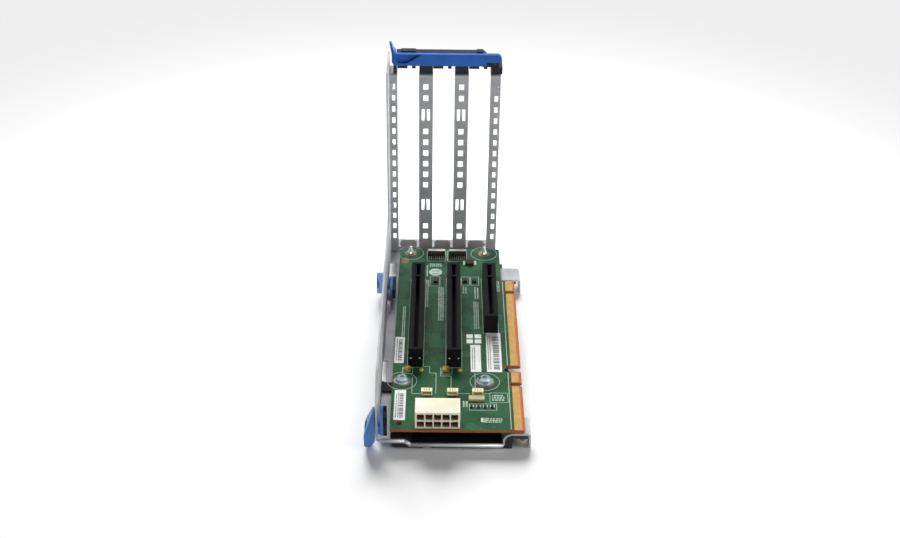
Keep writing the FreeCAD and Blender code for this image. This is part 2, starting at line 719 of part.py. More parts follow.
def riser_board():
    """Circuit board with a contact edge, a key gap, key notches and bevelled finger tips."""
    points = [(BOARD_LEFT, BOARD_FRONT), (FINGER_TIP, BOARD_FRONT), (FINGER_TIP, KEY_GAP_FRONT),
              (KEY_GAP_IN, KEY_GAP_FRONT), (KEY_GAP_IN, KEY_GAP_REAR), (FINGER_TIP, KEY_GAP_REAR),
              (FINGER_TIP, FINGER_REAR), (BOARD_RIGHT, FINGER_REAR), (BOARD_RIGHT, BOARD_REAR),
              (BOARD_LEFT, BOARD_REAR)]
    radii = {0: BOARD_CORNER, 1: BOARD_CORNER, 3: 0.8, 4: 0.8, 7: BOARD_CORNER, 8: BOARD_CORNER,
             9: BOARD_CORNER}
    board = plate(points, "xy", -BOARD_T, 0.0, radii)
    for y in KEY_NOTCH_YS:
        board = board.cut(box(KEY_NOTCH_IN, FINGER_TIP + 1, y - KEY_NOTCH_W / 2, y + KEY_NOTCH_W / 2,
                              -BOARD_T - 1, 1))
    bevels = bevel_cutters()
    holes = [(at, SCREW_HOLE_R) for at in SCREW_AT] + [(at, POST_HOLE_R) for at in POST_AT]
    holes.append((CORNER_HOLE_AT, CORNER_HOLE_R))
    for (x, y), radius in holes:
        bevels.append(rod(radius, V(x, y, -BOARD_T - 1), V(0, 0, 1), BOARD_T + 2))
    return board.cut(Part.makeCompound(bevels))


def bevel_cutters():
    """Wedges that bevel both rims of the finger tips."""
    wedges = []
    tip = FINGER_TIP
    run = 2 * FINGER_BEVEL
    for level, away in ((0.0, 1), (-BOARD_T, -1)):
        points = [(tip - run, level), (tip + 1, level + away), (tip + 1, level - away * FINGER_BEVEL),
                  (tip, level - away * FINGER_BEVEL)]
        wedges.append(plate(points, "xz", BOARD_FRONT - 1, FINGER_REAR + 1))
    return wedges


def edge_contacts():
    """Gold contact banks on both faces of the board's edge."""
    ends = [FINGER_REAR, KEY_NOTCH_YS[0] + KEY_NOTCH_W / 2, KEY_NOTCH_YS[0] - KEY_NOTCH_W / 2, KEY_GAP_REAR,
            KEY_GAP_FRONT, KEY_NOTCH_YS[1] + KEY_NOTCH_W / 2, KEY_NOTCH_YS[1] - KEY_NOTCH_W / 2, BOARD_FRONT]
    banks = []
    out = FINGER_TIP - 2 * FINGER_BEVEL
    for i in range(0, len(ends), 2):
        y1 = ends[i] - CONTACT_MARGIN
        y0 = ends[i + 1] + CONTACT_MARGIN
        banks.append(box(CONTACT_IN, out, y0, y1, 0, CONTACT_T))
        banks.append(box(CONTACT_IN, out, y0, y1, -BOARD_T - CONTACT_T, -BOARD_T))
    return Part.makeCompound(banks)


def slot_housing(x, length):
    """A card slot: a long housing with a funnel mouth, contact cavities and a key rib."""
    half = SLOT_W / 2
    body = box(x - half, x + half, -length, 0, 0, SLOT_H)
    mouth = [(x - SLOT_FUNNEL_W / 2, SLOT_H), (x - SLOT_MOUTH_W / 2, SLOT_H - SLOT_FUNNEL_H),
             (x - SLOT_MOUTH_W / 2, CAVITY_TOP), (x - CAVITY_W / 2, CAVITY_TOP - 0.8),
             (x - CAVITY_W / 2, SLOT_FLOOR), (x + CAVITY_W / 2, SLOT_FLOOR),
             (x + CAVITY_W / 2, CAVITY_TOP - 0.8), (x + SLOT_MOUTH_W / 2, CAVITY_TOP),
             (x + SLOT_MOUTH_W / 2, SLOT_H - SLOT_FUNNEL_H), (x + SLOT_FUNNEL_W / 2, SLOT_H),
             (x + SLOT_FUNNEL_W / 2, SLOT_H + 1), (x - SLOT_FUNNEL_W / 2, SLOT_H + 1)]
    spans = ((-length + SLOT_END_WALL, KEY_Y - KEY_W / 2), (KEY_Y + KEY_W / 2, -SLOT_END_WALL))
    for y0, y1 in spans:
        body = body.cut(plate(mouth, "xz", y0, y1))
    return body


def slot_contacts(x, length):
    """Contact rows along both walls of a card slot, in two banks beside the key rib."""
    rows = []
    spans = ((-length + SLOT_END_WALL, KEY_Y - KEY_W / 2), (KEY_Y + KEY_W / 2, -SLOT_END_WALL))
    wall = CAVITY_W / 2
    for y0, y1 in spans:
        for side in (-1, 1):
            near = x + side * (wall - CONTACT_ROW_T)
            far = x + side * wall
            points = [(near, SLOT_FLOOR), (far, SLOT_FLOOR), (far, CONTACT_ROW_TOP - 1.4),
                      (x + side * (SLOT_MOUTH_W / 2), CONTACT_ROW_TOP - 0.6),
                      (x + side * (SLOT_MOUTH_W / 2 - 0.15), CONTACT_ROW_TOP - 1.6),
                      (near, CONTACT_ROW_TOP - 2.6)]
            rows.append(plate(points, "xz", y0 + 0.3, y1 - 0.3))
    return Part.makeCompound(rows)


def power_cell_centres():
    """Centres of the ten cells of the power socket, across and up."""
    first = POWER_X0 + POWER_W / 2 - (POWER_COLUMNS - 1) * POWER_PITCH / 2
    return [(first + i * POWER_PITCH, z) for i in range(POWER_COLUMNS) for z in POWER_ROW_ZS]


def power_housing():
    """Ten-way socket housing with deep square cells and a latch rib on its rear top edge."""
    body = box(POWER_X0, POWER_X0 + POWER_W, POWER_FRONT, POWER_FRONT + POWER_DEPTH, 0, POWER_H)
    cells = []
    for x, z in power_cell_centres():
        cells.append(box(x - POWER_CELL_W / 2, x + POWER_CELL_W / 2, POWER_FRONT - 1,
                         POWER_FRONT + POWER_CELL_DEPTH, z - POWER_CELL_H / 2, z + POWER_CELL_H / 2))
    return body.cut(Part.makeCompound(cells))


def power_pins():
    """Square pins that stand in the cells of the power socket."""
    pins = []
    back = POWER_FRONT + POWER_CELL_DEPTH
    for x, z in power_cell_centres():
        pins.append(box(x - POWER_PIN / 2, x + POWER_PIN / 2, back - POWER_PIN_LENGTH, back,
                        z - POWER_PIN / 2, z + POWER_PIN / 2))
    return Part.makeCompound(pins)


def small_headers():
    """Three small cream headers with an open front."""
    bodies = []
    for x in HEADER_XS:
        y = HEADER_FRONT
        body = box(x - HEADER_W / 2, x + HEADER_W / 2, y, y + HEADER_DEPTH, 0, HEADER_H)
        low = (HEADER_H - HEADER_CELL_H) / 2
        bodies.append(body.cut(box(x - HEADER_CELL_W / 2, x + HEADER_CELL_W / 2, y - 1,
                                   y + HEADER_DEPTH * 0.7, low, low + HEADER_CELL_H)))
    return Part.makeCompound(bodies)


def small_header_pins():
    """Rows of pins inside the small headers."""
    pins = []
    back = HEADER_FRONT + HEADER_DEPTH * 0.7
    for x in HEADER_XS:
        for i in range(HEADER_PINS):
            pitch = HEADER_CELL_W / HEADER_PINS
            px = x + (i - (HEADER_PINS - 1) / 2) * pitch
            z = HEADER_H / 2
            pins.append(box(px - HEADER_PIN / 2, px + HEADER_PIN / 2, HEADER_FRONT + 0.3, back,
                            z - HEADER_PIN / 2, z + HEADER_PIN / 2))
    return Part.makeCompound(pins)


def rear_connectors():
    """Two low fine-pitch parts with a stepped front."""
    bodies = []
    for x in FINE_XS:
        y = FINE_FRONT
        points = [(y, 0), (y, FINE_H - FINE_STEP), (y + 0.7, FINE_H), (y + FINE_DEPTH, FINE_H),
                  (y + FINE_DEPTH, 0)]
        bodies.append(plate(points, "yz", x - FINE_W / 2, x + FINE_W / 2))
    return Part.makeCompound(bodies)


def rear_connector_pins():
    """Bent pins along the front of the fine-pitch parts."""
    pins = []
    pitch = (FINE_W - 1.6) / (FINE_PINS - 1)
    y = FINE_FRONT
    reach = FINE_PIN_REACH
    for x in FINE_XS:
        for i in range(FINE_PINS):
            px = x - FINE_W / 2 + 0.8 + i * pitch
            points = [(y, 1.4), (y, 1.8), (y - reach * 0.7, 1.8), (y - reach * 0.78, 0.35),
                      (y - reach, 0.35), (y - reach, 0.0), (y - reach * 0.57, 0.0), (y - reach * 0.49, 1.4)]
            pins.append(plate(points, "yz", px - FINE_PIN_W / 2, px + FINE_PIN_W / 2))
    return Part.makeCompound(pins)


def standoff(index):
    """A round pillar between the base plate and the board, bored for its screw."""
    x, y = SCREW_AT[index]
    low = sheet_top(x)
    body = rod(STANDOFF_R, V(x, y, low), V(0, 0, 1), -BOARD_T - low)
    depth = SCREW_LENGTH - WASHER_T - BOARD_T
    return body.cut(rod(SCREW_R, V(x, y, -BOARD_T - depth - EPS), V(0, 0, 1), depth + EPS))


def board_screws():
    """Two screws with a domed head and a hexagonal drive."""
    screws = []
    for x, y in SCREW_AT:
        seat = V(x, y, WASHER_T)
        shank = rod(SCREW_R, seat - V(0, 0, SCREW_LENGTH), V(0, 0, 1), SCREW_LENGTH)
        head = rod(SCREW_HEAD_R, seat, V(0, 0, 1), SCREW_HEAD_H * 0.6)
        dome = Part.makeCone(SCREW_HEAD_R, SCREW_HEAD_R * 0.72, SCREW_HEAD_H * 0.4,
                             seat + V(0, 0, SCREW_HEAD_H * 0.6))
        body = fuse([shank, head, dome])
        angles = [math.radians(60 * i) for i in range(6)]
        drive = [(x + SCREW_DRIVE / 2 * math.cos(a), y + SCREW_DRIVE / 2 * math.sin(a)) for a in angles]
        top = WASHER_T + SCREW_HEAD_H
        screws.append(body.cut(plate(drive, "xy", top - SCREW_DRIVE_DEPTH, top + 1)))
    return Part.makeCompound(screws)


def screw_washers():
    """Flat washers under the screw heads."""
    washers = []
    for x, y in SCREW_AT:
        ring = rod(WASHER_R, V(x, y, 0), V(0, 0, 1), WASHER_T)
        washers.append(ring.cut(rod(SCREW_R, V(x, y, -1), V(0, 0, 1), WASHER_T + 2)))
    return Part.makeCompound(washers)


def snap_post(index):
    """A shouldered post whose slotted pointed head snaps through the board."""
    x, y = POST_AT[index]
    low = sheet_top(x)
    shoulder = rod(POST_R, V(x, y, low), V(0, 0, 1), -BOARD_T - low)
    neck = rod(POST_NECK_R, V(x, y, -BOARD_T), V(0, 0, 1), BOARD_T + POST_RISE)
    head = Part.makeCone(POST_HEAD_R, POST_TIP_R, POST_HEAD_H, V(x, y, POST_RISE))
    body = fuse([shoulder, neck, head])
    slit = box(x - POST_SLIT / 2, x + POST_SLIT / 2, y - POST_R, y + POST_R, 0.0,
               POST_RISE + POST_HEAD_H * 0.62)
    return body.cut(slit)


def board_chips():
    """Small dark packages soldered to the board."""
    chips = [block(at, CHIP_SIZE) for at in CHIP_AT]
    chips.append(block(REGULATOR_AT, REGULATOR_SIZE))
    return Part.makeCompound(chips)


def chip_resistors():
    """A row of four small chip parts."""
    return Part.makeCompound([block((x, RESISTOR_Y), RESISTOR_SIZE) for x in RESISTOR_XS])


def gold_inductors():
    """Two square brass-coloured parts and one flat tan one."""
    parts = [block(at, INDUCTOR_SIZE) for at in INDUCTOR_AT]
    parts.append(block(RIBBON_AT, RIBBON_SIZE))
    return Part.makeCompound(parts)


def retainer_cover():
    """Blue front bar with a finger recess, a release ear and a skin over the hinge."""
    bar = box(COVER_LEFT, COVER_RIGHT + EPS, COVER_FRONT, COVER_BACK, COVER_BOTTOM, COVER_TOP)
    cheek = [(COVER_RIGHT, CHEEK_BOTTOM), (COVER_RIGHT, COVER_TOP), (CHEEK_RIGHT, COVER_TOP),
             (CHEEK_RIGHT, CHEEK_BOTTOM)]
    cheek_solid = plate(cheek, "xz", COVER_FRONT, COVER_BACK, {2: CHEEK_CORNER, 3: 0.8})
    ear = [(COVER_LEFT, COVER_BOTTOM), (COVER_LEFT - 0.9, COVER_BOTTOM), (COVER_LEFT - 2.3, COVER_BOTTOM + 2.0),
           (COVER_LEFT - 2.3, COVER_TOP), (COVER_LEFT - 2.3 - EAR_LEAN, EAR_TOP),
           (COVER_LEFT - 2.3 - EAR_LEAN + EAR_T * 0.8, EAR_TOP), (COVER_LEFT - 2.3 + EAR_T, COVER_TOP + 1.2),
           (COVER_LEFT, COVER_TOP)]
    ear_side = [(COVER_FRONT, COVER_BOTTOM), (COVER_FRONT, EAR_TOP), (EAR_TIP_BACK, EAR_TOP),
                (EAR_BACK, COVER_TOP), (EAR_BACK, COVER_BOTTOM)]
    ear_reach = (COVER_LEFT - 2 * (EAR_LEAN + EAR_T), COVER_LEFT)
    ear_solid = plate(ear, "xz", COVER_FRONT, EAR_BACK).common(plate(ear_side, "yz", *ear_reach))
    dot = box(DOT_X - DOT / 2, DOT_X + DOT / 2, COVER_FRONT - DOT_H, COVER_FRONT, DOT_Z - DOT / 2, DOT_Z + DOT / 2)
    body = fuse([bar, cheek_solid, ear_solid, dot])
    recess = [(COVER_LEFT + 0.4, COVER_BOTTOM + RECESS_RIM), (RECESS_FOOT, COVER_BOTTOM + RECESS_RIM),
              (RECESS_HEAD, COVER_TOP - 0.5), (COVER_LEFT + 0.4, COVER_TOP - 0.5)]
    return body.cut(plate(recess, "xz", COVER_FRONT - 1, COVER_FRONT + RECESS_DEPTH, {0: 1.5}))


def retainer_clamp():
    """Black beam behind the cover, with fingers and pads for the card brackets and two hinge cheeks."""
    left = COVER_LEFT + 0.4
    beam = [(left, BEAM_BOTTOM), (left, BEAM_TOP), (COVER_RIGHT - BEAM_END_DROP, BEAM_TOP),
            (COVER_RIGHT, BEAM_TOP - BEAM_END_DROP), (COVER_RIGHT, BEAM_BOTTOM)]
    pieces = [plate(beam, "xz", COVER_BACK, BEAM_BACK)]
    for x0, _ in window_ranges():
        for start, end in (WIDE_FINGER, NARROW_FINGER):
            pieces.append(box(x0 + start, x0 + end, COVER_BACK, BEAM_BACK, FINGER_BOTTOM, BEAM_BOTTOM + EPS))
    pad_bottom = LEDGE_TOP + PAD_GAP
    for x0, x1 in bar_ranges()[1:3]:
        pieces.append(box(x0 + PAD_SIDE, x1 - PAD_SIDE, COVER_BACK, BEAM_BACK, pad_bottom,
                          BEAM_BOTTOM + EPS))
    pieces.append(box(left - LEFT_PAD_W, left, COVER_BACK, BEAM_BACK, pad_bottom,
                      COVER_BOTTOM - PAD_GAP))
    for x0, x1 in HUMP_XS:
        hump = [(x0, BEAM_TOP - EPS), (x0 + HUMP_SLOPE, BEAM_TOP + HUMP_H), (x1 - HUMP_SLOPE, BEAM_TOP + HUMP_H),
                (x1, BEAM_TOP - EPS)]
        pieces.append(plate(hump, "xz", COVER_BACK + 0.6, BEAM_BACK))
    front, rear = ear_plate_y()
    pieces.append(hinge_cheek(front - HINGE_RUN - CHEEK_T))
    pieces.append(hinge_cheek(rear + HINGE_RUN))
    root = COVER_RIGHT - 2 * HINGE_R
    pieces.append(box(root, COVER_RIGHT, BEAM_BACK - EPS, rear + HINGE_RUN + CHEEK_T, BEAM_BOTTOM,
                      HINGE_Z + HINGE_R))
    body = fuse(pieces)
    bore = rod(HINGE_PIN_R + HINGE_FIT, V(HINGE_X, COVER_BACK, HINGE_Z), V(0, 1, 0),
               rear + HINGE_RUN + CHEEK_T + 1 - COVER_BACK)
    return body.cut(bore)


def ear_plate_y():
    """Front and rear faces of the fixed hinge ear, between the retainer's two cheeks."""
    front = COVER_BACK + CHEEK_T + HINGE_RUN
    return front, front + EAR_PLATE


def hinge_cheek(y0):
    """One of the retainer's cheeks, which reaches from the beam's end to the pin."""
    arm = box(COVER_RIGHT - HINGE_R, HINGE_X, y0, y0 + CHEEK_T, HINGE_Z - HINGE_R, HINGE_Z + HINGE_R)
    hub = rod(HINGE_R, V(HINGE_X, y0, HINGE_Z), V(0, 1, 0), CHEEK_T)
    return fuse([arm, hub])


def hinge_bracket():
    """Black block on the last bar's ledge, with the ear that carries the pin."""
    front, rear = ear_plate_y()
    base = box(BLOCK_LEFT, BLOCK_RIGHT, BLOCK_FRONT, BLOCK_REAR, LEDGE_TOP, BLOCK_TOP)
    web = box(HINGE_X - HINGE_R + 0.2, HINGE_X + HINGE_R - 0.2, front, rear, BLOCK_TOP - 1, HINGE_Z)
    hub = rod(HINGE_R - 0.2, V(HINGE_X, front, HINGE_Z), V(0, 1, 0), EAR_PLATE)
    body = fuse([base, web, hub])
    return body.cut(rod(HINGE_PIN_R, V(HINGE_X, front - 1, HINGE_Z), V(0, 1, 0), EAR_PLATE + 2))


def hinge_pin():
    """Steel pin that the retainer swings on, held in the fixed ear."""
    start = COVER_BACK + 0.1
    end = ear_plate_y()[1] + HINGE_RUN + CHEEK_T
    return rod(HINGE_PIN_R, V(HINGE_X, start, HINGE_Z), V(0, 1, 0), end - start)


def teardrop(reach, hub_r, tip_r, x0, x1):
    """A flat lever shape about the X axis: a round hub and a smaller round tip."""
    tip_u = abs(reach) - tip_r
    side = math.acos((hub_r - tip_r) / tip_u)
    sign = 1 if reach > 0 else -1
    web = [(sign * hub_r * math.cos(side), hub_r * math.sin(side)),
           (sign * (tip_u + tip_r * math.cos(side)), tip_r * math.sin(side)),
           (sign * (tip_u + tip_r * math.cos(side)), -tip_r * math.sin(side)),
           (sign * hub_r * math.cos(side), -hub_r * math.sin(side))]
    hub = rod(hub_r, V(x0, 0, 0), V(1, 0, 0), x1 - x0)
    tip = rod(tip_r, V(x0, sign * tip_u, 0), V(1, 0, 0), x1 - x0)
    return fuse([plate(web, "yz", x0, x1), hub, tip])


def latch_handle():
    """Blue lever: thin and flat at one end, swelling outward and lifting off the wall at the other."""
    inner = WALL_OUT - LATCH_RUN
    outer = WALL_OUT - HANDLE_PROUD
    side = [(inner, -HANDLE_BACK), (inner, HANDLE_FLAT), (inner - HANDLE_LIFT, HANDLE_REACH),
            (outer + HANDLE_ROUND, HANDLE_REACH), (outer, HANDLE_REACH - 2 * HANDLE_ROUND),
            (outer, HANDLE_WIDEST), (inner - HANDLE_THIN, -HANDLE_BACK)]
    body = plate(side, "xy", -HUB_R - SHEET, HUB_R + SHEET, {5: 8.0})
    form = fuse([teardrop(HANDLE_REACH, HUB_R, HANDLE_TIP_R, outer - 1, inner + 1),
                 teardrop(-HANDLE_BACK, HUB_R, HANDLE_BACK_R, outer - 1, inner + 1)])
    body = body.common(form)
    bore = rod(STUD_R, V(outer - 1, 0, 0), V(1, 0, 0), HANDLE_PROUD + 2)
    seat_x = inner - HANDLE_HUB_T + STUD_HEAD_T
    seat = rod(STUD_HEAD_R, V(seat_x, 0, 0), V(-1, 0, 0), HANDLE_PROUD)
    return body.cut(fuse([bore, seat]))


def latch_stud():
    """Steel stud with a slotted flat head outside and a plain end inside."""
    inner = WALL_OUT - LATCH_RUN
    seat_x = inner - HANDLE_HUB_T + STUD_HEAD_T
    end_x = clip_x() + CLIP_PLATE_T + CLIP_RIM_H
    shank = rod(STUD_R, V(seat_x, 0, 0), V(1, 0, 0), end_x - seat_x)
    head = rod(STUD_HEAD_R, V(seat_x - STUD_HEAD_T, 0, 0), V(1, 0, 0), STUD_HEAD_T)
    slot = box(seat_x - STUD_HEAD_T - 1, seat_x - STUD_HEAD_T * 0.5, -STUD_HEAD_R, STUD_HEAD_R, -0.5, 0.5)
    return fuse([shank, head]).cut(slot)


def cam_x():
    """Where the cam's plate starts inside the wall."""
    return WALL_IN + LATCH_RUN + CAM_BOSS_H


def clip_x():
    """Where the clip's plate starts, against the cam."""
    return cam_x() + CAM_T


def latch_cam():
    """Blue cam inside the wall, pointing away from the handle's thick end, on a short boss."""
    body = teardrop(-CAM_REACH, CAM_HUB_R, CAM_TIP_R, cam_x(), cam_x() + CAM_T)
    boss = rod(CAM_BOSS_R, V(WALL_IN + LATCH_RUN, 0, 0), V(1, 0, 0), CAM_BOSS_H + EPS)
    body = fuse([body, boss]).cut(rod(STUD_R, V(WALL_IN, 0, 0), V(1, 0, 0), CAM_BOSS_H + CAM_T + 2))
    body.rotate(V(0, 0, 0), V(1, 0, 0), CAM_TILT)
    return body


def latch_clip():
    """Dark spring clip along the cam: a strip with two upturned long edges."""
    x0 = clip_x()
    half = CLIP_WIDTH / 2
    strip = box(x0, x0 + CLIP_PLATE_T, -CLIP_REACH, CLIP_TAIL, -half, half)
    rims = [box(x0, x0 + CLIP_PLATE_T + CLIP_RIM_H, -CLIP_REACH, CLIP_TAIL, z, z + CLIP_RIM_T)
            for z in (-half, half - CLIP_RIM_T)]
    body = fuse([strip] + rims)
    body = body.cut(rod(STUD_R, V(x0 - 1, 0, 0), V(1, 0, 0), CLIP_PLATE_T + CLIP_RIM_H + 2))
    body.rotate(V(0, 0, 0), V(1, 0, 0), CAM_TILT)
    return body


def latch(prefix, y, turn):
    """The four pieces of one half-turn latch, turned about their stud and put on the wall."""
    made = {"handle": latch_handle(), "stud": latch_stud(), "cam": latch_cam(), "clip": latch_clip()}
    pieces = {}
    for name, shape in made.items():
        shape.rotate(V(0, 0, 0), V(1, 0, 0), turn)
        shape.translate(V(0, y, LATCH_Z))
        pieces[prefix + "_latch_" + name] = shape
    return pieces


def build():
    """Every piece of the cage by name, in the working frame."""
    parts = {"cage_base": cage_base(), "slot_wall": slot_wall(), "wall_rivets": wall_rivets(),
             "under_tray": under_tray(), "tray_rivets": tray_rivets(), "tab_insert": tab_insert(),
             "board_support": board_support(), "riser_board": riser_board(), "edge_contacts": edge_contacts(),
             "power_housing": power_housing(), "power_pins": power_pins(),
             "small_headers": small_headers(), "small_header_pins": small_header_pins(),
             "rear_connectors": rear_connectors(), "rear_connector_pins": rear_connector_pins(),
             "board_chips": board_chips(), "chip_resistors": chip_resistors(),
             "gold_inductors": gold_inductors(), "board_screws": board_screws(),
             "screw_washers": screw_washers(), "left_standoff": standoff(0),
             "right_standoff": standoff(1), "left_post": snap_post(0), "right_post": snap_post(1),
             "retainer_cover": retainer_cover(), "retainer_clamp": retainer_clamp(),
             "hinge_bracket": hinge_bracket(), "hinge_pin": hinge_pin()}
    for number, (x, length) in enumerate(zip(SLOT_XS, SLOT_LENGTHS), 1):
        parts["slot_%d_housing" % number] = slot_housing(x, length)
        parts["slot_%d_contacts" % number] = slot_contacts(x, length)
    parts.update(latch("front", FRONT_LATCH_Y, FRONT_LATCH_TURN))
    parts.update(latch("rear", REAR_LATCH_Y, REAR_LATCH_TURN))
    return parts


os.makedirs("parts", exist_ok=True)
for node, shape in build().items():
    shape.translate(ORIGIN * -1)
    shape.exportStep("parts/" + node + ".step")
    print(node, "solids", len(shape.Solids), "volume", round(shape.Volume, 1), "valid", shape.isValid())
print("origin at", tuple(round(c, 3) for c in ORIGIN))
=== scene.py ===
# %% [markdown]
# A riser cage from a rack server, dressed for the camera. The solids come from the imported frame, and
# this script gives them their finishes, prints the circuit board, adds the pieces that are too fine for
# the solids, and lights the whole like a product photograph.

import math
import random

import bmesh
import bpy
from mathutils import Matrix, Vector


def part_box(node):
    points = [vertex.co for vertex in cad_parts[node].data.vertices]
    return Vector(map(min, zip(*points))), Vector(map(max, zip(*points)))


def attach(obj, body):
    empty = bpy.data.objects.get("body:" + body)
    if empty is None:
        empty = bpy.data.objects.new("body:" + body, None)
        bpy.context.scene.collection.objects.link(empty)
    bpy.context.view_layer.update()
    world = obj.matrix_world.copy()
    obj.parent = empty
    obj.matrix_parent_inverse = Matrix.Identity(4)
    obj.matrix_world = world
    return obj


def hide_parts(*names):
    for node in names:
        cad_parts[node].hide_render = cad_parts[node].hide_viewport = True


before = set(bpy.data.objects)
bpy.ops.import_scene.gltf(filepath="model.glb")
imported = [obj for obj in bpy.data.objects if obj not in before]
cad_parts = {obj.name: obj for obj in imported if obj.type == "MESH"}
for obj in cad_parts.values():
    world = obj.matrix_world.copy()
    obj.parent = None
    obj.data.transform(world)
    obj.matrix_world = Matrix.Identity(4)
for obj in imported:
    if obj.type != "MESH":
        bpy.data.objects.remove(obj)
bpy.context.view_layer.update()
MM = 0.001

# %% [markdown]
# Places on the board are easiest to give from one point of what it carries. The middle card slot has a
# good one: x is 0 on its centreline, y is 0 at its rear end and z is 0 on the board it stands on.
# Reading these from the frame keeps every printed mark on the board if the solids move, and two
# helpers give the box or the middle of any other node in the same millimetres.

# %% The board's datum
slot_low, slot_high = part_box("slot_2_housing")
DATUM = Vector(((slot_low.x + slot_high.x) / 2, slot_high.y, slot_low.z))


def spot(x, y, z=0.0):
    """A point given in millimetres from the board's datum."""
    return DATUM + Vector((x, y, z)) * MM


def corners_of(node):
    """The two corners of a node's box, in millimetres from the board's datum."""
    low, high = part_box(node)
    return (low - DATUM) / MM, (high - DATUM) / MM


def centre_of(node):
    """The middle of a node's box, in millimetres from the board's datum."""
    low, high = corners_of(node)
    return (low + high) / 2


board_low, board_high = corners_of("riser_board")
print("datum at", [round(v, 4) for v in DATUM])
print("board size", [round(v, 1) for v in board_high - board_low])

# %% [markdown]
# Colours are given as display values from 0 to 255, while shaders want linear light. One small
# helper turns the first into the second, so that the numbers in the script stay easy to picture.

# %% Colours
def display(red, green, blue):
    """A display colour as the linear colour that a shader wants."""
    def linear(value):
        value /= 255
        return value / 12.92 if value <= 0.04045 else ((value + 0.055) / 1.055) ** 2.4
    return linear(red), linear(green), linear(blue), 1.0


print("middle grey is", [round(v, 3) for v in display(128, 128, 128)[:3]], "in linear light")

# %% [markdown]
# A finish is a small network of nodes. Wiring it by hand takes three lines a node, which hides what
# the network does, so a few helpers each add one node and return its result. Where an input needs no
# other node, its plain value goes on the input itself.

# %% Node helpers
def plug(tree, source, target):
    """Feed an input with another node's output, or set it to a plain value."""
    if isinstance(source, bpy.types.NodeSocket):
        tree.links.new(source, target)
    else:
        target.default_value = source


def calculate(tree, operation, *values):
    """The result of a Math node, whose inputs are outputs or plain numbers."""
    node = tree.nodes.new("ShaderNodeMath")
    node.operation = operation
    for value, target in zip(values, node.inputs):
        plug(tree, value, target)
    return node.outputs["Value"]


def rescale(tree, value, start, stop, first=0.0, last=1.0):
    """A value carried from the range start..stop to the range first..last, and held inside it."""
    node = tree.nodes.new("ShaderNodeMapRange")
    plug(tree, value, node.inputs["Value"])
    node.inputs["From Min"].default_value = start
    node.inputs["From Max"].default_value = stop
    node.inputs["To Min"].default_value = first
    node.inputs["To Max"].default_value = last
    return node.outputs["Result"]


def ramp_colors(tree, amount, first, last, start=0.0, stop=1.0):
    """A colour between two colours, where an amount runs from start to stop."""
    ramp = tree.nodes.new("ShaderNodeValToRGB")
    ramp.color_ramp.elements[0].position = start
    ramp.color_ramp.elements[0].color = first
    ramp.color_ramp.elements[1].position = stop
    ramp.color_ramp.elements[1].color = last
    tree.links.new(amount, ramp.inputs["Fac"])
    return ramp.outputs["Color"]


def lay_over(tree, amount, under, over):
    """One colour laid over another by an amount."""
    blend = tree.nodes.new("ShaderNodeMix")
    blend.data_type = "RGBA"
    plug(tree, amount, blend.inputs["Factor"])
    plug(tree, under, blend.inputs[6])
    plug(tree, over, blend.inputs[7])
    return blend.outputs[2]


print("node helpers ready")

# %% [markdown]
# Every finish is one Principled shader whose colour, roughness and surface vary a little over the
# piece, as real surfaces do. The variation reads Object coordinates, so it stays with the piece when
# a body moves. A noise that can be stretched drives all three: it is hung on the colour, on the
# roughness, or on the normal as a relief.

# %% Finish helpers
TONE_START, TONE_STOP = 0.35, 0.65
GLOSS_START, GLOSS_STOP = 0.3, 0.7


def base_finish(name, color, metallic, roughness):
    """A material with one Principled shader set to plain values."""
    material = bpy.data.materials.new(name)
    material.use_nodes = True
    shader = material.node_tree.nodes["Principled BSDF"]
    shader.inputs["Base Color"].default_value = color
    shader.inputs["Metallic"].default_value = metallic
    shader.inputs["Roughness"].default_value = roughness
    return material, material.node_tree, shader


def object_noise(tree, scale, stretch=(1, 1, 1), detail=4.0):
    """Noise fixed to the piece, scale cells to the metre; a large stretch makes it fine along an axis."""
    coordinates = tree.nodes.new("ShaderNodeTexCoord")
    mapping = tree.nodes.new("ShaderNodeMapping")
    mapping.inputs["Scale"].default_value = stretch
    noise = tree.nodes.new("ShaderNodeTexNoise")
    noise.inputs["Scale"].default_value = scale
    noise.inputs["Detail"].default_value = detail
    tree.links.new(coordinates.outputs["Object"], mapping.inputs["Vector"])
    tree.links.new(mapping.outputs["Vector"], noise.inputs["Vector"])
    return noise.outputs["Fac"]


def two_tones(tree, amount, dark, light):
    """A colour that drifts between two tones with a noise."""
    return ramp_colors(tree, amount, dark, light, TONE_START, TONE_STOP)


def vary_color(tree, shader, amount, dark, light):
    """Let the base colour drift between two tones with a noise."""
    tree.links.new(two_tones(tree, amount, dark, light), shader.inputs["Base Color"])


def vary_roughness(tree, shader, amount, low, high):
    """Let the roughness drift between two values with a noise."""
    roughness = rescale(tree, amount, GLOSS_START, GLOSS_STOP, low, high)
    tree.links.new(roughness, shader.inputs["Roughness"])


def roughen(tree, shader, amount, strength, depth):
    """Give the surface a fine relief from a noise, with its depth in millimetres."""
    bump = tree.nodes.new("ShaderNodeBump")
    bump.inputs["Strength"].default_value = strength
    bump.inputs["Distance"].default_value = depth * MM
    tree.links.new(amount, bump.inputs["Height"])
    tree.links.new(bump.outputs["Normal"], shader.inputs["Normal"])


print("finish helpers ready")

# %% [markdown]
# The cage is folded from zinc-coated steel. It could be one grey metal, but real coated sheet shows a
# soft grain from the rolling mill and cloudy patches where the coating froze. A stretched noise gives
# the grain to the roughness, and a broad one clouds the colour. The zinc is dull, so the finish is only
# half metallic. The slot wall gets a darker copy of the same steel, as painted shade on its bars, which
# face away from the main lamp.

# %% Coated steel sheet
ZINC_METALLIC = 0.5
CLOUD_SCALE = 70
GRAIN_SCALE = 350
ROLLED_ALONG_X = (1.0, 0.05, 0.05)
GRAIN_STRENGTH = 0.12
GRAIN_DEPTH = 0.03


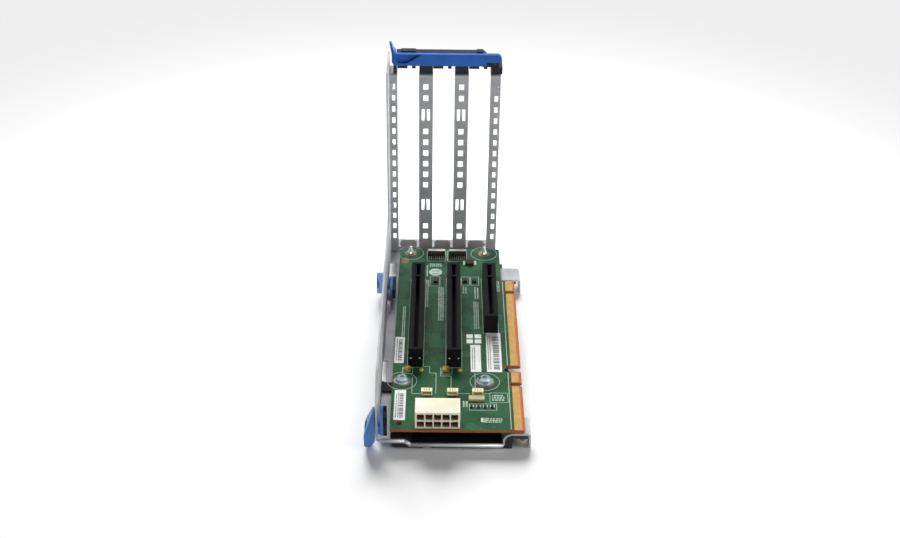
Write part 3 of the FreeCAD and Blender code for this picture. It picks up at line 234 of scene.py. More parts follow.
def steel_sheet(name, dark, light, low, high):
    """Zinc-coated sheet: rolled grain, cloudy tone and a faint relief."""
    material, tree, shader = base_finish(name, light, ZINC_METALLIC, low)
    clouds = object_noise(tree, CLOUD_SCALE, detail=5.0)
    vary_color(tree, shader, clouds, dark, light)
    grain = object_noise(tree, GRAIN_SCALE, ROLLED_ALONG_X, detail=3.0)
    vary_roughness(tree, shader, grain, low, high)
    roughen(tree, shader, grain, GRAIN_STRENGTH, GRAIN_DEPTH)
    return material


cage_steel = steel_sheet("galvanised_steel", display(188, 190, 193), display(206, 208, 211), 0.4, 0.52)
# Darker copy of the cage's steel: painted shade on the slot wall's bars.
shaded_wall_steel = steel_sheet("slot_wall_shaded_steel", display(154, 156, 160), display(172, 174, 178), 0.4, 0.52)
rivet_steel = steel_sheet("rivet_steel", display(138, 139, 142), display(168, 169, 172), 0.32, 0.44)
print("made", cage_steel.name, shaded_wall_steel.name, rivet_steel.name)

# %% [markdown]
# Screws, washers and studs are small turned steel parts with bright zinc on them. The same recipe
# with full metal, less roughness and a finer noise suits them. A darker version makes the spring clips,
# and warm ones the brass insert and the gold contacts. A very dark gold paints the shade on the springs
# deep in the card slots.

# %% Fastener and contact metals
MOTTLE_SCALE = 260


def fastener(name, dark, light, low, high):
    """Plated metal with a fine mottled sheen."""
    material, tree, shader = base_finish(name, light, 1.0, low)
    mottle = object_noise(tree, MOTTLE_SCALE, detail=2.0)
    vary_color(tree, shader, mottle, dark, light)
    vary_roughness(tree, shader, mottle, low, high)
    return material


screw_steel = fastener("screw_steel", display(158, 178, 184), display(196, 212, 216), 0.24, 0.34)
spring_steel = fastener("spring_steel", display(38, 42, 52), display(66, 70, 80), 0.35, 0.5)
pin_metal = fastener("pin_metal", display(176, 168, 150), display(214, 206, 190), 0.22, 0.34)
insert_brass = fastener("insert_brass", display(150, 118, 66), display(196, 158, 96), 0.25, 0.4)
contact_gold = fastener("contact_gold", display(226, 186, 114), display(240, 206, 136), 0.34, 0.46)
# Gold darkened to paint the shade on the springs deep in the card slots.
shaded_spring_gold = fastener("shaded_spring_gold", display(58, 46, 30), display(88, 70, 44), 0.4, 0.5)
print("made", screw_steel.name, spring_steel.name, pin_metal.name, insert_brass.name)
print("made", contact_gold.name, shaded_spring_gold.name)

# %% [markdown]
# Moulded plastics differ mostly in colour and gloss. One function covers them all: a slight tone
# change over the piece, a little change of roughness, and a fine relief left by the mould. The card
# slots are a matt glass-filled resin, so they mirror much less than the rest.

# %% Moulded plastics
PLASTIC_GLOSS = 0.35
SLOT_GLOSS = 0.12
TONE_SCALE = 90
MOULD_GRAIN_SCALE = 1500
MOULD_STRENGTH = 0.1
MOULD_DEPTH = 0.02


def moulded(name, dark, light, low, high, gloss=PLASTIC_GLOSS):
    """Moulded plastic with a faint tone change and a fine mould grain."""
    material, tree, shader = base_finish(name, light, 0.0, low)
    shader.inputs["Specular IOR Level"].default_value = gloss
    tone = object_noise(tree, TONE_SCALE, detail=3.0)
    vary_color(tree, shader, tone, dark, light)
    grain = object_noise(tree, MOULD_GRAIN_SCALE, detail=2.0)
    vary_roughness(tree, shader, grain, low, high)
    roughen(tree, shader, grain, MOULD_STRENGTH, MOULD_DEPTH)
    return material


black_tray = moulded("black_tray", display(42, 43, 46), display(56, 57, 60), 0.5, 0.65)
black_plastic = moulded("black_plastic", display(14, 15, 20), display(24, 26, 33), 0.38, 0.52)
nylon_white = moulded("nylon_white", display(244, 245, 243), display(252, 252, 250), 0.3, 0.42)
slot_black = moulded("slot_black", display(12, 12, 13), display(20, 20, 21), 0.4, 0.55, SLOT_GLOSS)
chip_black = moulded("chip_black", display(34, 26, 24), display(52, 42, 38), 0.4, 0.55)
# Pale white for the painted glints on the slots' mould marks.
chip_white = moulded("chip_white", display(196, 196, 190), display(222, 222, 216), 0.4, 0.55)
touch_blue = moulded("touch_blue", display(22, 90, 174), display(30, 102, 190), 0.34, 0.46)
latch_blue = moulded("latch_blue", display(72, 124, 192), display(92, 142, 206), 0.34, 0.46)
header_cream = moulded("header_cream", display(238, 226, 188), display(252, 244, 214), 0.38, 0.5)
header_tan = moulded("header_tan", display(196, 158, 96), display(222, 190, 128), 0.4, 0.5)
print("made ten plastics, from", black_tray.name, "to", header_tan.name)

# %% [markdown]
# Three finishes need a colour that depends on the place, and all of them ask the same thing: does one
# coordinate of the surface lie between two limits? Two helpers answer that.

# %% Masks by place
def object_axes(tree):
    """The object coordinates of a point, one output for each axis."""
    coordinates = tree.nodes.new("ShaderNodeTexCoord")
    split = tree.nodes.new("ShaderNodeSeparateXYZ")
    tree.links.new(coordinates.outputs["Object"], split.inputs["Vector"])
    return split.outputs


def between(tree, value, low, high):
    """1 where a value lies between two limits, else 0."""
    return calculate(tree, "COMPARE", value, (low + high) / 2, (high - low) / 2)


print("place masks ready")

# %% [markdown]
# The cream socket's cells are deep and narrow, so in shade they look brown inside. It could be left to the
# lamps, but soft studio light reaches too far in, so a mask paints that shade: it tints what lies inside
# the socket's outer walls, more so with depth. Nylon also lets some light through: a little subsurface
# scattering carries the light of the top into the front face.

# %% Cream power socket
SOCKET_WALL = 0.75
SOCKET_RIM = 0.3
SOCKET_SHADE_DEPTH = 4.0
SOCKET_TONE_SCALE = 60
SOCKET_GLOSS = 0.3
GLOW_WEIGHT = 0.4
GLOW_RADIUS = (1.0, 0.85, 0.5)
GLOW_REACH = 3.0


def socket_mask(tree, axes, low, high):
    """1 inside a box's walls and behind its front rim, else 0."""
    wall = SOCKET_WALL * MM
    across = between(tree, axes["X"], low.x + wall, high.x - wall)
    deep = between(tree, axes["Y"], low.y + SOCKET_RIM * MM, high.y - wall)
    upright = between(tree, axes["Z"], low.z + wall, high.z - wall)
    return calculate(tree, "MULTIPLY", calculate(tree, "MULTIPLY", across, deep), upright)


def socket_cream(name, node):
    """Cream moulding of a node, with painted shade in brown inside its walls."""
    material, tree, shader = base_finish(name, display(255, 250, 230), 0.0, 0.45)
    shader.inputs["Specular IOR Level"].default_value = SOCKET_GLOSS
    shader.inputs["Subsurface Weight"].default_value = GLOW_WEIGHT
    shader.inputs["Subsurface Radius"].default_value = GLOW_RADIUS
    shader.inputs["Subsurface Scale"].default_value = GLOW_REACH * MM
    tone = object_noise(tree, SOCKET_TONE_SCALE, detail=2.0)
    cream = two_tones(tree, tone, display(246, 238, 212), display(255, 250, 230))
    axes = object_axes(tree)
    low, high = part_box(node)
    # Painted shade: the tint darkens with depth into the cells.
    depth = rescale(tree, axes["Y"], low.y, low.y + SOCKET_SHADE_DEPTH * MM)
    brown = ramp_colors(tree, depth, display(212, 184, 136), display(112, 82, 50))
    color = lay_over(tree, socket_mask(tree, axes, low, high), cream, brown)
    tree.links.new(color, shader.inputs["Base Color"])
    return material


power_cream = socket_cream("cream_plastic", "power_housing")
print("made", power_cream.name)

# %% [markdown]
# The two fine-pitch parts at the rear have a pale back half and a dark front half, split at one depth.
# The two small coils before the long slots are mottled brass, and the flat part near the headers is
# pale tan. The frame holds those three as one node, so one finish needs both colours, and a mask on
# the depth keeps them apart.

# %% Two-colour parts on the board
CONNECTOR_DARK_SHARE = 0.42
CONNECTOR_GLOSS = 0.2
CONNECTOR_TONE_SCALE = 300
COIL_MOTTLE_SCALE = 420
COIL_SPLIT_Y = -105.0
WELL_AHEAD_Y = -300.0


def split_plastic(name, node, share):
    """Dark plastic on the front share of a node's depth and pale plastic behind it."""
    material, tree, shader = base_finish(name, display(190, 190, 182), 0.0, 0.5)
    shader.inputs["Specular IOR Level"].default_value = CONNECTOR_GLOSS
    low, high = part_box(node)
    front = between(tree, object_axes(tree)["Y"], low.y - MM, low.y + (high.y - low.y) * share)
    tone = object_noise(tree, CONNECTOR_TONE_SCALE)
    pale = two_tones(tree, tone, display(176, 178, 168), display(206, 206, 198))
    tree.links.new(lay_over(tree, front, pale, display(34, 34, 32)), shader.inputs["Base Color"])
    return material


def two_part_gold(name):
    """Mottled brass for small coils, and a pale tan ahead of a given place on the board."""
    material, tree, shader = base_finish(name, display(190, 166, 84), 0.5, 0.45)
    mottle = object_noise(tree, COIL_MOTTLE_SCALE)
    brass = two_tones(tree, mottle, display(92, 82, 44), display(214, 190, 96))
    ahead = between(tree, object_axes(tree)["Y"], spot(0, WELL_AHEAD_Y).y, spot(0, COIL_SPLIT_Y).y)
    tree.links.new(lay_over(tree, ahead, brass, display(206, 192, 158)), shader.inputs["Base Color"])
    return material


rear_plastic = split_plastic("grey_plastic", "rear_connectors", CONNECTOR_DARK_SHARE)
inductor_gold = two_part_gold("inductor_gold")
print("made", rear_plastic.name, inductor_gold.name)

# %% [markdown]
# The circuit board is the largest coloured surface. Its green lacquer lies over copper: where copper
# is underneath it looks lighter, and in the gaps darker. A brick pattern bent by noise would look like
# a wall, so cells from a Voronoi texture with straight edges stand for the copper areas. The cut edge
# of the board is bare brown laminate, told apart from the faces by the direction that the surface
# looks: a face looks straight up or down, so the height of its normal is close to 1 or -1.

# %% Lacquered circuit board
LACQUER_GLOSS = 0.22
LACQUER_GRAIN_SCALE = 600
COPPER_CELL_SCALE = 130
FACE_LIMIT = 0.95


def copper_areas(tree):
    """An amount that is even inside each straight-edged cell and differs from cell to cell."""
    coordinates = tree.nodes.new("ShaderNodeTexCoord")
    cells = tree.nodes.new("ShaderNodeTexVoronoi")
    cells.distance = "CHEBYCHEV"
    cells.inputs["Scale"].default_value = COPPER_CELL_SCALE
    tree.links.new(coordinates.outputs["Object"], cells.inputs["Vector"])
    tint = tree.nodes.new("ShaderNodeSeparateColor")
    tree.links.new(cells.outputs["Color"], tint.inputs["Color"])
    return tint.outputs["Red"]


def looks_up_or_down(tree):
    """1 on level faces, 0 on upright and bevelled ones."""
    geometry = tree.nodes.new("ShaderNodeNewGeometry")
    facing = tree.nodes.new("ShaderNodeSeparateXYZ")
    tree.links.new(geometry.outputs["Normal"], facing.inputs["Vector"])
    return calculate(tree, "GREATER_THAN", calculate(tree, "ABSOLUTE", facing.outputs["Z"]), FACE_LIMIT)


def circuit_board(name):
    """Green lacquer over copper areas on the faces, brown laminate on the cut edges."""
    material, tree, shader = base_finish(name, display(60, 96, 70), 0.0, 0.34)
    shader.inputs["Specular IOR Level"].default_value = LACQUER_GLOSS
    lacquer = ramp_colors(tree, copper_areas(tree), display(28, 68, 44), display(43, 95, 59))
    color = lay_over(tree, looks_up_or_down(tree), display(160, 94, 58), lacquer)
    tree.links.new(color, shader.inputs["Base Color"])
    vary_roughness(tree, shader, object_noise(tree, LACQUER_GRAIN_SCALE, detail=2.0), 0.26, 0.4)
    return material


board_green = circuit_board("board_green")
print("made", board_green.name)

# %% [markdown]
# Each imported node already has a material slot, and a finish goes in by replacing what the slot holds.
# A list of node groups keeps the assignment readable, and the count at the end shows how many
# nodes got a finish.

# %% Finishes onto the solids
SLOT_NODES = ("slot_1_housing", "slot_2_housing", "slot_3_housing")
dressed = set()


def dress(finish, *nodes):
    """Give CAD nodes a finish."""
    for node in nodes:
        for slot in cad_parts[node].material_slots:
            slot.material = finish
        dressed.add(node)


dress(cage_steel, "cage_base")
dress(shaded_wall_steel, "slot_wall")
dress(rivet_steel, "wall_rivets")
dress(black_tray, "under_tray", "tray_rivets")
dress(insert_brass, "tab_insert")
dress(black_plastic, "board_support", "retainer_clamp", "hinge_bracket")
dress(nylon_white, "left_post", "right_post")
dress(board_green, "riser_board")
dress(slot_black, *SLOT_NODES)
dress(contact_gold, "edge_contacts", "slot_1_contacts", "slot_2_contacts", "slot_3_contacts")
dress(power_cream, "power_housing")
dress(header_cream, "small_headers")
dress(header_tan, "small_header_pins")
dress(pin_metal, "power_pins", "rear_connector_pins")
dress(rear_plastic, "rear_connectors")
dress(chip_black, "board_chips", "chip_resistors")
dress(inductor_gold, "gold_inductors")
dress(screw_steel, "board_screws", "screw_washers", "left_standoff", "right_standoff")
dress(touch_blue, "retainer_cover")
for latch in ("front_latch", "rear_latch"):
    dress(latch_blue, latch + "_handle", latch + "_cam")
    dress(screw_steel, latch + "_stud")
    dress(spring_steel, latch + "_clip")
dress(spring_steel, "hinge_pin")
print("dressed", len(dressed), "of", len(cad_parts))

# %% [markdown]
# New pieces are built in a bmesh. Most are small boxes, so the first helper adds a box by its two
# corners in datum millimetres. Rings turn a small square about an upright axis, and ovals squash a
# short round slice. The last helper closes a bmesh into an object that rides on a body.

# %% Building helpers
def add_box(mesh, low, high):
    """Add a box between two datum points to a bmesh."""
    low, high = Vector(low), Vector(high)
    centre = spot(*((low + high) / 2))
    place = Matrix.Translation(centre) @ Matrix.Diagonal((*((high - low) * MM), 1))
    bmesh.ops.create_cube(mesh, size=1.0, matrix=place)


def add_ring(mesh, x, y, inner, outer, height, sides=48):
    """Add a flat ring that lies on the board, by turning a small square around an upright axis."""
    corners = [(inner, 0), (outer, 0), (outer, height), (inner, height)]
    made = [mesh.verts.new(spot(x + r, y, h)) for r, h in corners]
    face = mesh.faces.new(made)
    bmesh.ops.spin(mesh, geom=[face] + list(face.edges) + made, cent=spot(x, y), axis=(0, 0, 1),
                   angle=math.tau, steps=sides, use_merge=True)


def add_oval(mesh, x, y, width, depth, height, sides=32):
    """Add a flat oval film that lies on the board."""
    squash = Matrix.Diagonal((width / 2 * MM, depth / 2 * MM, height * MM, 1))
    bmesh.ops.create_cone(mesh, cap_ends=True, segments=sides, radius1=1, radius2=1, depth=1,
                          matrix=Matrix.Translation(spot(x, y, height / 2)) @ squash)


def finish_piece(name, mesh, material, body="cage"):
    """Close a bmesh into an object with a finish, riding on a body."""
    bmesh.ops.recalc_face_normals(mesh, faces=mesh.faces)
    data = bpy.data.meshes.new(name)
    mesh.to_mesh(data)
    mesh.free()
    piece = bpy.data.objects.new(name, data)
    bpy.context.collection.objects.link(piece)
    data.materials.append(material)
    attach(piece, body)
    print(name, len(data.polygons), "faces")
    return piece


# %% [markdown]
# The contact edge of the board is four banks of narrow gold fingers. Between and around the fingers
# the bare laminate glows orange. Each bank lies on a thinner orange film that shows in the gaps, past
# both ends and along the outer edge, where the fingers stop short.

# %% Orange beds under the fingers
FINGER_BANKS = ((-11.9, -1.9), (-86.9, -15.7), (-102.0, -93.4), (-142.4, -106.0))
BED_T = 0.02
BED_RIM = 0.45
bank_low, bank_high = corners_of("edge_contacts")
laminate = moulded("laminate_orange", display(196, 108, 52), display(216, 132, 70), 0.4, 0.55)
mesh = bmesh.new()
for bank_front, bank_rear in FINGER_BANKS:
    for z in (board_high.z, board_low.z - BED_T):
        add_box(mesh, (bank_low.x, bank_front - BED_RIM, z), (bank_high.x, bank_rear + BED_RIM, z + BED_T))
finish_piece("finger_beds", mesh, laminate)

# %% [markdown]
# A loop lays the fingers one millimetre apart inside each bank, on both faces of the board, and the
# plates of the solid are then hidden. Each finger is a plain thin box, because there are hundreds of
# them and nothing on them is large enough to see.

# %% Gold fingers
FINGER_PITCH = 1.0
FINGER_W = 0.84
FINGER_T = 0.05
FINGER_BACK = 0.7
mesh = bmesh.new()
for bank_front, bank_rear in FINGER_BANKS:
    length = bank_rear - bank_front
    count = int(length / FINGER_PITCH)
    for i in range(count):
        y = bank_front + (i + 0.5) * length / count
        for z in (board_high.z, board_low.z - FINGER_T):
            add_box(mesh, (bank_low.x, y - FINGER_W / 2, z),
                    (bank_high.x - FINGER_BACK, y + FINGER_W / 2, z + FINGER_T))
fingers = finish_piece("edge_fingers", mesh, contact_gold)
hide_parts("edge_contacts")

# %% [markdown]
# Inside each card slot a real one has a row of bent springs on either side. From above only their
# rounded noses show in the mouth. One spring is three short boxes, a root, an arm and a nose, and a
# loop repeats it along both walls, missing out the key rib.

# %% Contact springs in the card slots
SPRING_PITCH = 1.0
SPRING_W = 0.55
SPRING_OUT = 2.3
SPRING_IN = 0.9
ROOT_T = 0.3
NOSE_T = 0.35
ROOT_Z = 3.5
ARM_Z = 5.6
NOSE_Z = 6.0
TIP_Z = 7.4
KEY_Y = -14.5
KEY_HALF = 1.6


def add_spring(mesh, centre, side, y):
    """Add one bent spring: an upright root, a level arm and an upright nose."""
    for near, far, bottom, top in ((SPRING_OUT - ROOT_T, SPRING_OUT, ROOT_Z, ARM_Z),
                                   (SPRING_IN, SPRING_OUT, ARM_Z, NOSE_Z),
                                   (SPRING_IN, SPRING_IN + NOSE_T, NOSE_Z, TIP_Z)):
        left, right = sorted((centre + side * near, centre + side * far))
        add_box(mesh, (left, y - SPRING_W / 2, bottom), (right, y + SPRING_W / 2, top))


def slot_springs(number):
    """Two rows of springs for one card slot, in place of its solid contact rows."""
    node = "slot_%d_contacts" % number
    low, high = corners_of(node)
    mesh = bmesh.new()
    for i in range(int((high.y - low.y) / SPRING_PITCH)):
        y = low.y + (i + 0.5) * SPRING_PITCH
        if abs(y - KEY_Y) < KEY_HALF:
            continue
        for side in (-1, 1):
            add_spring(mesh, centre_of(node).x, side, y)
    # The springs take the dark gold that paints the shade inside the slot.
    piece = finish_piece("slot_%d_springs" % number, mesh, shaded_spring_gold)
    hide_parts(node)


for number in (1, 2, 3):
    slot_springs(number)

# %% [markdown]
# White ink on the board marks outlines, rings and part positions. Ink is a film, so each mark is a
# very thin box laid on the lacquer. Lines come from a few corner points that a helper walks along,
# which keeps right-angled routes short to write. Between the larger parts lie fields of short bars. To
# place each bar by hand would take a hundred lines, so a third helper fills a field by chance.

# %% White ink helpers
INK_T = 0.03
INK_W = 0.28
BAR_LENGTHS = (0.5, 1.5)
BAR_GAPS = (0.25, 0.5)
BAR_HALF_SHARE = 0.28
ink_white = moulded("ink_white", display(178, 200, 184), display(204, 218, 206), 0.5, 0.65)


def ink_line(mesh, points, width=INK_W):
    """Lay ink along straight runs between points."""
    for (x0, y0), (x1, y1) in zip(points, points[1:]):
        half = width / 2
        add_box(mesh, (min(x0, x1) - half, min(y0, y1) - half, 0),
                (max(x0, x1) + half, max(y0, y1) + half, INK_T))


def ink_frame(mesh, x0, y0, x1, y1, width=INK_W):
    """Lay a rectangular outline of ink."""
    ink_line(mesh, [(x0, y0), (x1, y0), (x1, y1), (x0, y1), (x0, y0)], width)


def ink_bars(mesh, x0, y0, x1, y1, rows, seed, upright):
    """Fill a field with rows of short plain bars; upright rows run away from the viewer."""
    chance = random.Random(seed)
    across, along = ((x0, x1), (y0, y1)) if upright else ((y0, y1), (x0, x1))
    step = (across[1] - across[0]) / rows
    half = step * BAR_HALF_SHARE
    for i in range(rows):
        at = across[0] + (i + 0.5) * step
        start = along[0]
        while start < along[1] - BAR_LENGTHS[0]:
            stop = min(start + chance.uniform(*BAR_LENGTHS), along[1])
            if upright:
                add_box(mesh, (at - half, start, 0), (at + half, stop, INK_T))
            else:
                add_box(mesh, (start, at - half, 0), (stop, at + half, INK_T))
            start = stop + chance.uniform(*BAR_GAPS)


print("ink helpers ready, with", ink_white.name)

# %% [markdown]
# Now the marks themselves, all gathered in one bmesh. Each card slot has an outline at its foot, read
# from its solid. The long white routes tie the small brass parts to the headers, two heavier lines run
# beside the gold edge, and thin frames surround the small parts.

# %% Outlines and routes in ink
OUTLINE_GAP = 0.5
OUTLINE_W = 0.22
FRAME_W = 0.24
EDGE_LINE_W = 0.35
ROUTES = (((-15.7, -88.7), (-12.7, -88.7), (-12.7, -94.6), (-9.3, -94.6), (-9.3, -112.5)),
          ((-7.0, -89.6), (-7.0, -97.2), (-1.5, -97.2), (-1.5, -107.8)),
          ((-21.6, -98.4), (-21.6, -112.9), (-17.2, -112.9)),
          ((-26.7, -89.0), (-26.7, -94.8)),
          ((11.0, -94.2), (11.0, -107.6)),
          ((2.6, -112.5), (8.2, -112.5)),
          ((15.4, -112.5), (18.4, -112.5)))
EDGE_LINES = (((28.3, -86.8), (28.3, -2.4)),
              ((28.3, -142.0), (28.3, -93.8)))
PART_FRAMES = ((18.3, -120.0, 27.5, -111.8),
               (-13.6, -7.6, -7.9, 2.9),
               (4.5, -6.4, 9.3, 2.8),
               (10.0, -6.4, 14.6, 2.8),
               (-15.6, 20.6, -4.6, 32.6),
               (-3.6, 20.6, 7.9, 32.6),
               (-27.0, -95.4, -21.6, -89.9),
               (-6.3, -95.4, -1.0, -89.9),
               (7.8, -126.6, 21.6, -121.2))
ink = bmesh.new()
for node in SLOT_NODES:
    low, high = corners_of(node)
    ink_frame(ink, low.x - OUTLINE_GAP, low.y - OUTLINE_GAP, high.x + OUTLINE_GAP, high.y + OUTLINE_GAP,
              OUTLINE_W)
for route in ROUTES:
    ink_line(ink, route)
for line in EDGE_LINES:
    ink_line(ink, line, EDGE_LINE_W)
for corners in PART_FRAMES:
    ink_frame(ink, *corners, FRAME_W)
print("ink outlines:", len(ink.faces), "faces")

# %% [markdown]
# The fields of short bars lie between the slots and around the headers. Each has its two corners, how
# many rows it holds, the seed of its chance and whether its rows run away from the viewer.

# %% Fields of short bars
BAR_FIELDS = ((14.6, -137.0, 24.0, -133.0, 3, 3, False),
              (-8.9, -44.0, -5.4, -8.5, 3, 5, True),
              (11.0, -52.0, 14.2, -24.0, 3, 8, True),
              (-16.2, -30.0, -14.2, -1.0, 2, 9, True),
              (24.6, -13.5, 26.6, -1.6, 2, 12, True),
              (4.2, -124.0, 7.2, -118.6, 2, 14, True),
              (4.9, -15.6, 7.8, -8.0, 2, 15, True),
              (11.6, -21.0, 14.6, -8.6, 2, 16, True),
              (19.4, -118.8, 25.8, -113.2, 3, 17, False),
              (-14.0, 14.0, -6.4, 18.0, 2, 18, False),
              (-28.6, -60.0, -26.6, -30.0, 2, 19, True),
              (-16.0, 3.0, -14.8, 16.0, 1, 20, True))
for x0, y0, x1, y1, rows, seed, upright in BAR_FIELDS:
    ink_bars(ink, x0, y0, x1, y1, rows, seed, upright)
print("with the fields:", len(ink.faces), "faces")

# %% [markdown]
# A wide ring surrounds each of the two screws and the two posts. An oval and a block finish the print.
# Chips and resistors have bright plated ends that wrap over the body, and since they share the ink's
# pale tone they join the same mesh as small boxes.

# %% Rings, oval, block and plated ends
SCREW_PLACES = ((-26.9, -101.9), (16.0, -102.0))
POST_PLACES = ((-25.6, 29.8), (18.3, 29.8))
RING_IN = 7.55
RING_OUT = 7.78
OVAL_AT = (-10.5, 7.9)
OVAL_SIZE = (7.6, 7.8)
BLOCK_CORNERS = ((13.4, -136.4, 0), (16.2, -133.0, INK_T))
CHIP_END_XS = (6.3, 12.9)
CHIP_END_HALF = 0.6
CHIP_END_YS = (16.2, 20.4)
CHIP_END_H = 0.5
RESISTOR_COUNT = 4
RESISTOR_W = 2.1
PLATED_W = 0.5
PLATED_OVER = 0.15
PLATED_TOP = 0.75
PLATED_SIDE = 0.1
for x, y in SCREW_PLACES + POST_PLACES:
    add_ring(ink, x, y, RING_IN, RING_OUT, INK_T)
add_oval(ink, *OVAL_AT, *OVAL_SIZE, INK_T)
add_box(ink, *BLOCK_CORNERS)
for x in CHIP_END_XS:
    add_box(ink, (x - CHIP_END_HALF, CHIP_END_YS[0], 0), (x + CHIP_END_HALF, CHIP_END_YS[1], CHIP_END_H))
row_low, row_high = corners_of("chip_resistors")
row_pitch = (row_high.x - row_low.x - RESISTOR_W) / (RESISTOR_COUNT - 1)
for i in range(RESISTOR_COUNT):
    left = row_low.x + i * row_pitch - PLATED_OVER
    for x in (left, left + RESISTOR_W + 2 * PLATED_OVER - PLATED_W):
        add_box(ink, (x, row_low.y - PLATED_SIDE, 0), (x + PLATED_W, row_high.y + PLATED_SIDE, PLATED_TOP))
finish_piece("board_ink", ink, ink_white)

# %% [markdown]
# Copper shows bare in a few places: round the two posts, round the screws, and as an oval pad beside
# the left post. Two yellow pads lie before the long slots. All are films, thinner than the ink, so that
# ink laid over them stays on top, and dull enough for the recipe of the plastics in a metal's tone.

# %% Bare pads
PAD_T = 0.02
POST_PAD = (1.9, 3.4)
SCREW_PAD = (4.2, 5.0)
OVAL_PAD = (-28.6, 21.0, 4.6, 6.0)
YELLOW_PAD_XS = (-17.0, 3.2)
YELLOW_PAD_Y = -91.7
YELLOW_PAD_SIZE = (2.6, 3.2)
pad_copper = moulded("pad_copper", display(112, 86, 56), display(160, 130, 92), 0.35, 0.5)
pad_yellow = moulded("pad_yellow", display(184, 162, 60), display(214, 192, 88), 0.35, 0.5)
mesh = bmesh.new()
for x, y in POST_PLACES:
    add_ring(mesh, x, y, *POST_PAD, PAD_T, sides=32)
for x, y in SCREW_PLACES:
    add_ring(mesh, x, y, *SCREW_PAD, PAD_T, sides=40)
add_oval(mesh, *OVAL_PAD, PAD_T)
finish_piece("bare_pads", mesh, pad_copper)

mesh = bmesh.new()
for x in YELLOW_PAD_XS:
    add_oval(mesh, x, YELLOW_PAD_Y, *YELLOW_PAD_SIZE, PAD_T, sides=8)
finish_piece("oval_pads", mesh, pad_yellow)

# %% [markdown]
# The white oval gets two bars in lacquer green, because a plain white oval would look unprinted, and a
# small red spot marks a test point between the headers.

# %% Small colour marks
OVAL_BAR_YS = (6.4, 9.2)
OVAL_BAR_XS = (-12.9, -8.1)
OVAL_BAR_HALF = 0.35
RED_SPOT = (-6.2, -108.4, 2.4, 2.2)
mark_green = moulded("mark_green", display(60, 104, 76), display(84, 124, 94), 0.5, 0.6)
mark_red = moulded("mark_red", display(120, 44, 40), display(146, 60, 54), 0.5, 0.6)
mesh = bmesh.new()
for y in OVAL_BAR_YS:
    add_box(mesh, (OVAL_BAR_XS[0], y - OVAL_BAR_HALF, INK_T),
            (OVAL_BAR_XS[1], y + OVAL_BAR_HALF, INK_T + PAD_T))
finish_piece("oval_mark_bars", mesh, mark_green)

mesh = bmesh.new()
add_oval(mesh, *RED_SPOT, PAD_T, sides=20)
finish_piece("red_spot", mesh, mark_red)

# %% [markdown]
# Each small header shows three tan strips on its top, where its contacts come through. They are thin
# films too, placed from the top and the back of the headers' own box in the frame.

# %% Contact strips on the small headers
HEADER_XS = (-13.95, -0.7, 12.15)
STRIP_PITCH = 1.3
STRIP_HALF = 0.3
STRIP_LENGTH = 2.1
STRIP_FROM_BACK = 0.5
header_top = corners_of("small_headers")[1]
strip_rear = header_top.y - STRIP_FROM_BACK
mesh = bmesh.new()
for header_x in HEADER_XS:
    for side in (-1, 0, 1):
        x = header_x + side * STRIP_PITCH
        add_box(mesh, (x - STRIP_HALF, strip_rear - STRIP_LENGTH, header_top.z),
                (x + STRIP_HALF, strip_rear, header_top.z + PAD_T))
finish_piece("header_strips", mesh, header_tan)

# %% [markdown]
# The front edge of the base plate is safe to touch on the real cage: the sheet is folded back on
# itself, which leaves a rounded, bright nose. A square sheet edge would face only its own shadow on
# the floor, so a slim round bar follows the edge, down the joggle and along the trough. Balls at the
# ends of each run close the corners between two runs.

# %% Rounded front edge
HEM_R = 1.05
HEM_AHEAD = 0.7
HEM_PLACES = ((-36.0, -6.5), (-24.6, -6.5), (-21.6, -8.8), (23.6, -8.8))


def add_bar(mesh, start, end, radius, sides=20):
    """Add a round bar between two datum points, with a ball at each end."""
    start, end = spot(*start), spot(*end)
    turn = (end - start).to_track_quat("Z", "Y").to_matrix().to_4x4()
    bmesh.ops.create_cone(mesh, cap_ends=True, segments=sides, radius1=radius * MM, radius2=radius * MM,
                          depth=(end - start).length, matrix=Matrix.Translation((start + end) / 2) @ turn)
    for centre in (start, end):
        bmesh.ops.create_uvsphere(mesh, u_segments=sides, v_segments=sides // 2, radius=radius * MM,
                                  matrix=Matrix.Translation(centre))


hem_y = corners_of("under_tray")[0].y - HEM_AHEAD
mesh = bmesh.new()
for (x0, z0), (x1, z1) in zip(HEM_PLACES, HEM_PLACES[1:]):
    add_bar(mesh, (x0, hem_y, z0), (x1, hem_y, z1), HEM_R)
hem = finish_piece("front_hem", mesh, cage_steel)
for face in hem.data.polygons:
    face.use_smooth = True

# %% [markdown]
# Between the board and the plate it lies in deep shade and looks nearly black, so a thin black film on
# the plate paints that shade. The film is a strip of flat runs that follows the joggle of the sheet, so
# each run is a flat box that is tilted to lead from one place of the profile to the next.

# %% Painted shade film under the board
FILM_T = 0.15
FILM_FRONT = -142.8
FILM_REAR = -20.0
FILM_PLACES = ((-31.6, -5.9), (-24.4, -5.9), (-21.0, -8.2), (23.8, -8.2))
mesh = bmesh.new()
for (x0, z0), (x1, z1) in zip(FILM_PLACES, FILM_PLACES[1:]):
    run = math.hypot(x1 - x0, z1 - z0)
    tilt = Matrix.Rotation(-math.atan2(z1 - z0, x1 - x0), 4, "Y")
    middle = spot((x0 + x1) / 2, (FILM_FRONT + FILM_REAR) / 2, (z0 + z1) / 2)
    size = Matrix.Diagonal((run * MM, (FILM_REAR - FILM_FRONT) * MM, FILM_T * MM, 1))
    bmesh.ops.create_cube(mesh, size=1.0, matrix=Matrix.Translation(middle) @ tilt @ size)
# Black film as painted shade under the board.
finish_piece("painted_shade_film", mesh, black_plastic)
